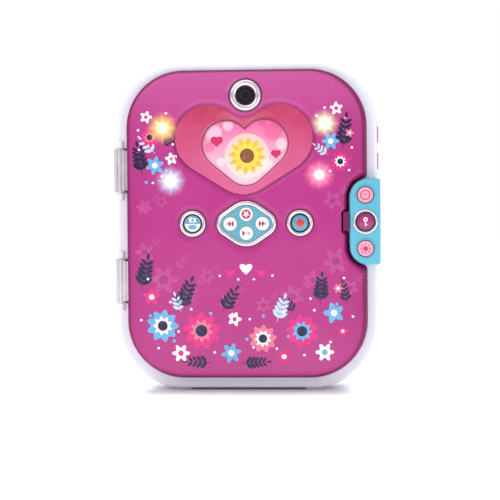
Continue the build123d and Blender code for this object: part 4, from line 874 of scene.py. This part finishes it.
def makeCone(s, finish):
    # stepped funnel between the ring and the window: small ledges along a straight slope
    share = np.repeat(np.linspace(0, 1, s["steps"]), 2)[1:]
    depth = np.repeat(np.linspace(0, 1, s["steps"]), 2)[:-1]
    wide, narrow = s["ring"] - s["cone"], s["window"] - s["lip"]
    radii = np.concatenate([wide - share * (wide - narrow), [narrow, wide]])
    heights = np.concatenate([s["from"] + depth * s["deep"], [s["back"]] * 2])
    rings = [ring3(circlePath(s["x"], s["z"], r, 112), y) for r, y in zip(radii, heights)]
    return loft("cameraCone", rings, "cover", finish, loop=True, hard=30, slot="chrome_trim")


gapShadeSettings = {"width": 1.05, "lift": 0.06, "under": 0.3, "foot": 0.4}


def makeGapShade(name, path, s, finish):
    # painted shade in the gap round a ring: a narrow dark band that follows the cover's face
    outer, middle, inner = inset(path, -s["width"]), inset(path, -s["width"] * 0.7), inset(path, s["under"])
    foot, low, high = s["foot"], -s["lift"] * 0.3, -s["lift"]
    lines = [(outer, foot), (outer, low), (middle, high), (inner, high), (inner, foot)]
    rings = [ring3(line, flatFace(*line.T) + rise) for line, rise in lines]
    return loft(name, np.stack(rings), "cover", finish, loop=True, hard=40, slot="cover_magenta")


def ringRound(key, count=96):
    return circlePath(*sideKeys[key], sideKeys["ring"], count)


def lockSpot(up, radius):
    return circlePath(lock["buttonX"], lock["z"] + up * lock["step"], radius)


# painted shade for the gaps round the rings
gapShadePlum = mouldedFinish("gapShadePlum", shade(104, 20, 72), 0.35, 0.3, 0.5, 0.04)
collarTeal = mouldedFinish("collarTeal", shade(82, 172, 198), 0.26, 0.5, 0.8, 0.03)
# painted shade for the gaps round the clock and light keys
keyGapShade = mouldedFinish("keyGapShade", shade(70, 62, 92), 0.4, 0.2, 0.6, 0.04)
cameraRound = [circlePath(cameraSpot["x"], cameraSpot["z"], cameraSpot["ring"], count) for count in (128, 160)]
sideBands = [(key + "Ring", ringRound(key), sideKeys["ringWidth"], float(crown(*sideKeys[key])) - sideKeys["rise"],
              -16.9, "cover", 0.8, "side_rings") for key in ("photo", "record")]

trimRing("cameraRing", cameraRound[0], cameraSpot["band"], -22.2, -18.9, "cover", chromeTrim, 1.95,
         replaces=["camera_ring"], slot="chrome_trim")
makeCone(cameraSpot, metalFinish("coneChrome", shade(120, 84, 112), 0.2, (1, 1, 1), 0.5, 0.05))
# painted shade bands in the gaps round the camera ring, the pad ring and the two side rings
for name, path in (("camera", cameraRound[1]), ("pad", padPath), ("photo", ringRound("photo", 128)),
                   ("record", ringRound("record", 128))):
    makeGapShade(name + "GapShade", path, gapShadeSettings, gapShadePlum)
# plated bands: line, width, front, foot, body, rounding and the node each stands for
for name, path, width, front, foot, body, rounding, node in (
        ("padRing", padPath, pad["ringWidth"], levels["ringTop"], -20.8, "cover", 0.9, "pad_ring"),
        *sideBands, ("lockRing", lockSpot(0, 8.4), 1.45, -20.4, -18.5, "base", 0.55, "lock_ring")):
    trimRing(name, path, width, front, foot, body, chromeTrim, rounding, replaces=[node], slot="chrome_trim")
for name, up in (("clockCollar", 1), ("lightCollar", -1)):
    trimRing(name, lockSpot(up, 7.5), 1.9, -19.62, -19.3, "base", collarTeal, 0.22, slot="teal_plastic")
    # painted shade: a dark ring in the gap round each key
    trimRing(name + "GapShadeRing", lockSpot(up, 6.05), 0.6, -19.68, -19.4, "base", keyGapShade, 0.1, slot="teal_plastic")


def backMark(x, z):
    heads = [wedgeMask(-(x + 0.75), z, 2.1, 2.4), wedgeMask(-(x - 1.4), z, 2.1, 2.4)]
    return joined(*heads, barMask(x + 2.25, z, 0.24, 1.2))


# marks of the keys, in millimetres from the key's middle; each gives 1 where there is ink, and the shadow mark where
# painted shade darkens a key towards its rim
keyMarks = {
    "starDisc": lambda x, z: discMask(x, z, 3.25),
    "star": lambda x, z: petalMask(x, z, 2.6, 5, 1.15, math.pi / 2),
    "back": backMark,
    "ahead": lambda x, z: backMark(-x, z),
    "play": lambda x, z: joined(wedgeMask(x + 1.7, z, 2.0, 2.3), barMask(x - z * 0.35 - 0.1, z, 0.17, 1.25),
                                barMask(abs(x - 1.85) - 0.5, z, 0.24, 1.1)),
    "topHalf": lambda x, z: z.step(-0.1, 0.1) * discMask(x, z, 5.3),
    "camera": lambda x, z: joined(barMask(x, z - 2.4, 2.4, 1.4) * (1 - discMask(x, z - 2.4, 0.95)),
                                  barMask(x + 1.2, z - 4.0, 0.6, 0.35)),
    "lower": lambda x, z: barMask(x, z + 2.3, 2.5, 1.4),
    "photoGapShadeRing": lambda x, z: 1 - discMask(x, z, 5.45),
    "dot": lambda x, z: discMask(x - 0.2, z, 2.7, 0.35),
    "recordGapShadeRing": lambda x, z: 1 - discMask(x, z, 5.3),
    "hands": lambda x, z: joined(discMask(x, z, 3.5) * (1 - discMask(x, z, 2.75)),
                                 barMask(x + z * 0.9, z - 0.55, 0.32, 0.75),
                                 barMask(x - z * 0.9, z - 0.55, 0.32, 0.75)),
    "sun": lambda x, z: joined(discMask(x, z, 1.7), (z.math("ARCTAN2", x) * 8.0).math("COSINE").step(0.35, 0.6)
                               * (1 - abs(radial(x, z) - 3.1).step(0.4, 0.6))),
    # painted shade: darker towards the key's rim
    "shadow": lambda x, z: radial(x, z).step(3.4, 6.4),
    "key": lambda x, z: joined(discMask(x, z - 1.5, 1.55) * (1 - discMask(x, z - 1.5, 0.55)),
                               barMask(x, z + 1.4, 0.36, 1.75), barMask(x - 0.65, z + 1.9, 0.65, 0.3)),
}
padKey = {"radius": 4.7, "front": -22.95, "back": -16.9, "edge": 0.7, "dish": 0.12, "slot": "button_white",
          "colour": inks["white"]}
sideKey = {"radius": 6.1, "back": -16.9}
lockKey = {"radius": 5.4, "front": -20.05, "back": -16.6, "edge": 0.7, "dish": 0.12, "slot": "button_pink",
           "colour": shade(244, 166, 192), "gloss": (0.18, 0.7)}
keys = {
    "star": {**padKey, "at": (pad["x"], pad["z"] + 6.55), "marks": {"starDisc": "crimson", "star": "white"}},
    "rewind": {**padKey, "at": (pad["x"] - 11.1, pad["z"]), "marks": {"back": "wine"}},
    "forward": {**padKey, "at": (pad["x"] + 11.1, pad["z"]), "marks": {"ahead": "wine"}},
    "play": {**padKey, "at": (pad["x"], pad["z"] - 6.55), "marks": {"play": "wine"}},
    "photo": {**sideKey, "at": sideKeys["photo"], "front": -22.1, "edge": 0.7, "dish": 0.1, "slot": "photo_face",
              "colour": shade(236, 238, 244),
              "marks": {"topHalf": "lake", "camera": "white", "lower": "lagoon", "photoGapShadeRing": "slate"}},
    "record": {**sideKey, "at": sideKeys["record"], "front": -21.85, "edge": 1.3, "dome": 0.55, "slot": "record_blue",
               "colour": shade(86, 160, 192), "gloss": (0.14, 0.9),
               "marks": {"dot": "red", "recordGapShadeRing": "steelBlue"}},
    "clock": {**lockKey, "up": 1, "marks": {"hands": "crimson"}},
    "light": {**lockKey, "up": -1, "marks": {"sun": "crimson"}},
    "unlock": {**lockKey, "up": 0, "node": "key_button", "radius": 6.75, "front": -19.85, "edge": 1.6, "dish": -0.42,
               "slot": "key_magenta", "colour": shade(172, 26, 112), "marks": {"shadow": "plum", "key": "blush"}},
}
for name, s in keys.items():
    at = s.get("at") or (lock["buttonX"], lock["z"] + s["up"] * lock["step"])
    ink = printedFinish(name + "Ink", s["colour"], at, s["marks"], *s.get("gloss", ()))
    capButton(name + "Key", *at, s["radius"], s["front"], s["back"], name + "_key", ink, s["edge"],
              s.get("dome", 0.0), s.get("dish", 0.0), replaces=[s.get("node", name + "_button")], slot=s["slot"])
print("rings and keys made")

# ink on the cover: petals, leaves and dots, each a thin sheet just proud of the face
inkLayer = {"lift": 0.04, "step": 0.025, "points": 40, "turns": 9, "stagger": 0.1}


def inkRow(x, z, size, ink, layer=0, petals=0, waist=1.0, turn=0.0, squash=1.0):
    # petals: how many, or 0 for a disc, -1 for a leaf and -2 for a heart
    return x, z, size, turn, petals, waist, squash, layer, ink


def blossom(x, z, size, petals, ink, heartInk, turn=0.0, waist=0.55):
    return [inkRow(x, z, size, ink, 1, petals, waist, turn), inkRow(x, z, size * 0.3, heartInk, 2)]


def daisy(x, z, size, ink, heartInk, turn=0.0):
    # outer petals, a paler ring of petals, then the middle
    return [inkRow(x, z, size, ink, 1, 9, 0.72, turn), inkRow(x, z, size * 0.6, heartInk, 2, 9, 0.66, turn + 0.35),
            inkRow(x, z, size * 0.3, inks["navy"], 3)]


def onward(x, z, length, turn):
    return x + length * math.cos(turn), z + length * math.sin(turn)


def sprig(x, z, length, turn, pairs, leaf, ink):
    # a thin stem with pairs of leaves that shrink towards its tip
    rows = [inkRow(*onward(x, z, length / 2, turn), length / 2, ink, turn=turn, squash=0.035)]
    for k in range(pairs + 1):
        at = onward(x, z, length * (0.22 + 0.78 * k / pairs), turn)
        for side in ((-1, 1) if k < pairs else (0,)):
            size, lean = leaf * (1.0 - 0.35 * k / pairs), turn + side * 0.85
            rows.append(inkRow(*onward(*at, size, lean), size, ink, petals=-1, turn=lean, squash=0.42))
    return rows


def dots(places, size, ink):
    return [inkRow(x, z, size, ink) for x, z in places]


def smallHeart(x, z, size, ink):
    return [inkRow(x, z, size, ink, 1, -2)]


rows = []
# large flowers a shade paler than the cover, under the rest
faint = [shade(188, 66, 142), shade(168, 42, 118)]
for k, (x, z, size, petals) in enumerate([
        (-57, 78, 10.5, 6), (-40, 69, 7.5, 5), (-70, 97, 7, 5), (-27, 80, 6, 6), (62, 90, 9.5, 6),
        (46, 77, 7, 5), (32, 66, 8.5, 6), (72, 72, 5.5, 5), (-12, 63, 7, 5), (12, 60, 6, 6),
        (-70, 128, 6, 6), (60, 132, 6.5, 5), (-58, 132, 4.5, 5)]):
    rows += [inkRow(x, z, size, faint[0], -1, petals, 0.5, 0.3 * k), inkRow(x, z, size * 0.3, faint[1], -0.6)]
    rows += sprig(x + size * 0.8, z + size * 0.7, size * 1.1, 0.8, 2, size * 0.22, faint[0])
# the print over them, in the order it is laid: a function, then what it takes
for draw, *values in (
    # upper left
    (sprig, -71, 150, 20, 1.75, 5, 3.6, "navy"), (sprig, -62, 165, 14, 2.35, 3, 2.8, "paleBlue"),
    (daisy, -66, 176.5, 6.8, "hotPink", "coral"), (blossom, -62.5, 157, 6.6, 6, "sky", "white", 0.3),
    (blossom, -68.5, 190.5, 4.4, 5, "white", "hotPink"), (blossom, -51, 161.5, 4.4, 5, "white", "coral", 0.5),
    (sprig, -57.5, 171, 9, 0.5, 3, 1.9, "navy"),
    (dots, ((-73.5, 168), (-57.5, 149.5), (-64, 145), (-50, 171.5), (-74, 181.5), (-54.5, 193)),
     0.85, "white"),
    (dots, ((-61, 186.5), (-68.5, 145.5), (-54.5, 153.5)), 1.1, "sky"),
    # upper right
    (sprig, 67, 166, 22, 1.45, 5, 3.7, "navy"), (daisy, 65.5, 158.5, 6.8, "hotPink", "white", 0.2),
    (blossom, 59, 172.5, 6.2, 6, "sky", "white"), (blossom, 63, 195, 4.6, 5, "white", "hotPink", 0.4),
    (blossom, 72, 178, 3.2, 5, "coral", "white"), (sprig, 57.5, 163, 11, 2.5, 3, 2.1, "paleBlue"),
    (dots, ((71.5, 152.5), (55, 195.5), (49.5, 190), (73.5, 168), (58.5, 152), (69.5, 188.5)), 0.85, "white"),
    (dots, ((64.5, 184.5), (60, 146.5), (73, 160.5)), 1.1, "hotPink"),
    # lower band
    (sprig, -73, 70, 22, 1.35, 5, 4, "navy"), (blossom, -65.5, 66, 6.2, 5, "hotPink", "white", 0.3),
    (sprig, -47, 56, 22, 1.15, 5, 3.9, "navy"), (daisy, -58, 46, 11.6, "sky", "white"),
    (blossom, -45.5, 27, 6.4, 6, "white", "hotPink"), (sprig, -45, 55, 12, 1.9, 3, 2.7, "paleBlue"),
    (daisy, -31, 42.5, 13.6, "hotPink", "coral", 0.2), (sprig, -24, 20.5, 17, 3.1, 4, 3, "navy"),
    (blossom, -10.5, 27, 7.2, 6, "sky", "white", 0.2), (sprig, -17, 55, 18, 1, 4, 3.5, "navy"),
    (blossom, -8, 50.5, 5, 5, "white", "hotPink"), (sprig, -4, 20, 18, 0.05, 5, 2.9, "navy"),
    (daisy, 11.5, 37, 10, "coral", "white", 0.1), (sprig, 21, 48, 17, 1.25, 4, 3.4, "paleBlue"),
    (blossom, 26, 24.5, 5.6, 6, "hotPink", "white", 0.2), (daisy, 38.5, 42, 11.8, "hotPink", "sky", 0.3),
    (sprig, 34, 55, 11, 2.2, 3, 2.4, "navy"), (blossom, 54, 27.5, 6.6, 6, "white", "sky"),
    (sprig, 51, 60, 19, 1.5, 5, 3.6, "navy"), (blossom, 60.5, 54.5, 7.4, 5, "sky", "white", 0.6),
    (blossom, 66.5, 42, 3.8, 5, "hotPink", "white", 0.1), (sprig, 69.5, 60, 15, 1.75, 4, 2.7, "navy"),
    (blossom, 63.5, 71.5, 3.6, 6, "coral", "white"),
    (dots, ((-73, 50), (-68, 78.5), (-47, 42), (-52.5, 62.5), (-38, 57.5), (-22, 27.5), (-9.5, 54),
            (2.5, 50.5), (5, 31), (21, 30), (26, 55.5), (40, 25.5), (47, 56.5), (58, 34.5), (73.5, 52),
            (67.5, 78.5), (-61, 30.5), (44.5, 64.5)), 0.9, "white"),
    (dots, ((-50, 35.5), (-24.5, 54.5), (0.5, 36.5), (29, 38.5), (62.5, 60.5), (-66.5, 53), (12, 52.5)),
     1.15, "sky"),
    # three small hearts under the pad
    (smallHeart, 0.2, 85.5, 4.6, "white"), (smallHeart, -10.5, 82.5, 3.2, "hotPink"),
    (smallHeart, 10.9, 82.5, 3.2, "hotPink"),
    (dots, ((-18, 80.5), (18.4, 80.5), (-5.2, 78), (5.6, 78)), 0.8, "white"),
):
    rows += draw(*(inks[value] if isinstance(value, str) else value for value in values))


def makeInk(rows, s):
    # every outline is a radius by angle: petals from a cosine, leaves from a pinched ellipse, hearts from two lobes
    data = np.array([row[:8] for row in rows], float)
    colour = np.array([row[8] for row in rows], float)
    x, z, size, turn, petals, waist, squash, layer = (data[:, k:k + 1] for k in range(8))
    layer = layer + (np.arange(len(data)) % s["turns"])[:, None] * s["stagger"]
    n = s["points"]
    a = np.linspace(0, 2 * np.pi, n, endpoint=False)[None]
    reach = size * ((1 + waist) / 2 + (1 - waist) / 2 * np.cos(np.maximum(petals, 0) * a))
    px, pz = reach * np.cos(a), reach * np.sin(a) * squash
    pz = np.where(petals == -1, pz * np.abs(np.sin(a)) ** 0.5, pz)
    hx, hz = size * 0.95 * np.sin(a) ** 3, size * (0.78 * np.cos(a) - 0.3 * np.cos(2 * a) - 0.12 * np.cos(3 * a))
    px, pz = np.where(petals == -2, hx, px), np.where(petals == -2, hz, pz)
    wx, wz = px * np.cos(turn) - pz * np.sin(turn), px * np.sin(turn) + pz * np.cos(turn)
    m = len(data)
    x, z = np.concatenate([x, x + wx * 0.5, x + wx], 1), np.concatenate([z, z + wz * 0.5, z + wz], 1)
    y = coverFace(x, z, np.maximum(coverDepth(x, z), 0)) - s["lift"] - s["step"] * layer
    verts = np.stack([x, y, z], -1).reshape(-1, 3)
    base = (np.arange(m) * (2 * n + 1))[:, None]
    k = np.arange(n)[None]
    near, nearNext = base + 1 + k, base + 1 + (k + 1) % n
    fans = np.stack([base + 0 * k, near, nearNext], -1).reshape(-1, 3)
    quads = np.stack([near, near + n, nearNext + n, nearNext], -1).reshape(-1, 4)
    f = Finish("coverInk", Coat_Weight=0.3, Coat_Roughness=0.08, Specular_IOR_Level=0.3)
    tint = f.node("ShaderNodeAttribute", {"attribute_name": "inkColour"})
    cloud, fine = f.noise(2.5, 3.0), f.noise(0.3, 2.0)
    tone = f.mix(cloud.step(0.4, 0.8) * 0.05, tint, (0.8, 0.7, 0.8))
    material = f.feed(Base_Color=tone, Roughness=(0.3 + (cloud - 0.5) * 0.12).held(), Normal=f.bump(fine, 0.08, 0.02))
    piece = putPiece("coverPrint", verts, quads.tolist() + fans.tolist(), "cover", material, slot="cover_magenta",
                     toward=(0, -1, 0))
    paint = piece.data.attributes.new("inkColour", "FLOAT_COLOR", "POINT")
    full = np.ones((m, 2 * n + 1, 4))
    full[:, :, :3] = colour[:, None, :]
    paint.data.foreach_set("color", full.ravel())
    return piece


makeInk(rows, inkLayer)
print("ink laid:", len(rows), "shapes")

# lit spots: a small dome over each light guide, with a painted glow round it on the cover
glows = [("glowOne", -57.0, 182.7, (1.0, 0.80, 0.12), 12.5), ("glowTwo", -51.5, 146.3, (0.55, 0.86, 1.0), 12.0),
         ("glowThree", 55.0, 184.8, (0.74, 1.0, 0.5), 11.0), ("glowFour", 51.1, 149.5, (1.0, 0.36, 0.46), 12.0)]
glowSettings = {"dome": 1.9, "base": 0.12, "rise": 0.33, "foot": 0.9, "strength": 3.0, "haloLift": 0.16,
                "haloStrength": 1.15, "rays": 8.0, "rings": 9, "spokes": 64}


def haloFinish(name, x0, z0, colour, reach, s):
    # painted glow: light that fades outwards, stronger along a few rays
    f = Finish(name, Emission_Strength=s["haloStrength"], Roughness=0.6, Specular_IOR_Level=0.0)
    x, _, z = f.axes()
    x, z = x - x0, z - z0
    r = radial(x, z)
    rays = (z.math("ARCTAN2", x) * s["rays"]).math("COSINE") * 0.5 + 0.5
    fall = (1 - r * (1 / reach)).held()
    glowMottle = f.noise(3.0, 1.0)
    alpha = (fall ** 2.1 * 1.05 + (fall ** 1.5) * (rays ** 9.0) * 0.4 + (glowMottle - 0.5) * 0.03 * fall).held()
    tone = f.mix(1 - r.step(0.0, reach * 0.42), colour, (1, 1, 1))
    return f.feed(Base_Color=tone, Emission_Color=tone, Alpha=alpha)


def makeGlow(name, x, z, colour, reach, s):
    # a lens on the face, and a sheet of rings round it that carries the painted glow
    lens, front = lampFinish(name + "Lens", colour, s["strength"]), float(flatFace(x, z))
    capButton(name, x, z, s["dome"], front - s["base"], front + s["foot"], "cover", lens, edge=0.3, dome=s["rise"],
              slot="light_clear")
    flat = np.stack([circlePath(x, z, reach * k, s["spokes"]) for k in np.linspace(0.02, 1, s["rings"])])
    verts = ring3(flat, flatFace(flat[..., 0], flat[..., 1]) - s["haloLift"]).reshape(-1, 3)
    verts = np.vstack([verts, [[x, front - s["haloLift"], z]]])
    # painted glow on a sheet over the cover
    haze = haloFinish(name + "PaintedGlow", x, z, colour, reach, s)
    putPiece(name + "Halo", verts, loftFaces(s["rings"], s["spokes"], capStart=True), "cover", haze,
             slot="light_clear", toward=(0, -1, 0))


for name, x, z, colour, reach in glows:
    makeGlow(name, x, z, colour, reach, glowSettings)
dress(lampFinish("guideClear", (0.95, 0.92, 0.98), 0.6), "light_pipes")
print("lights made")
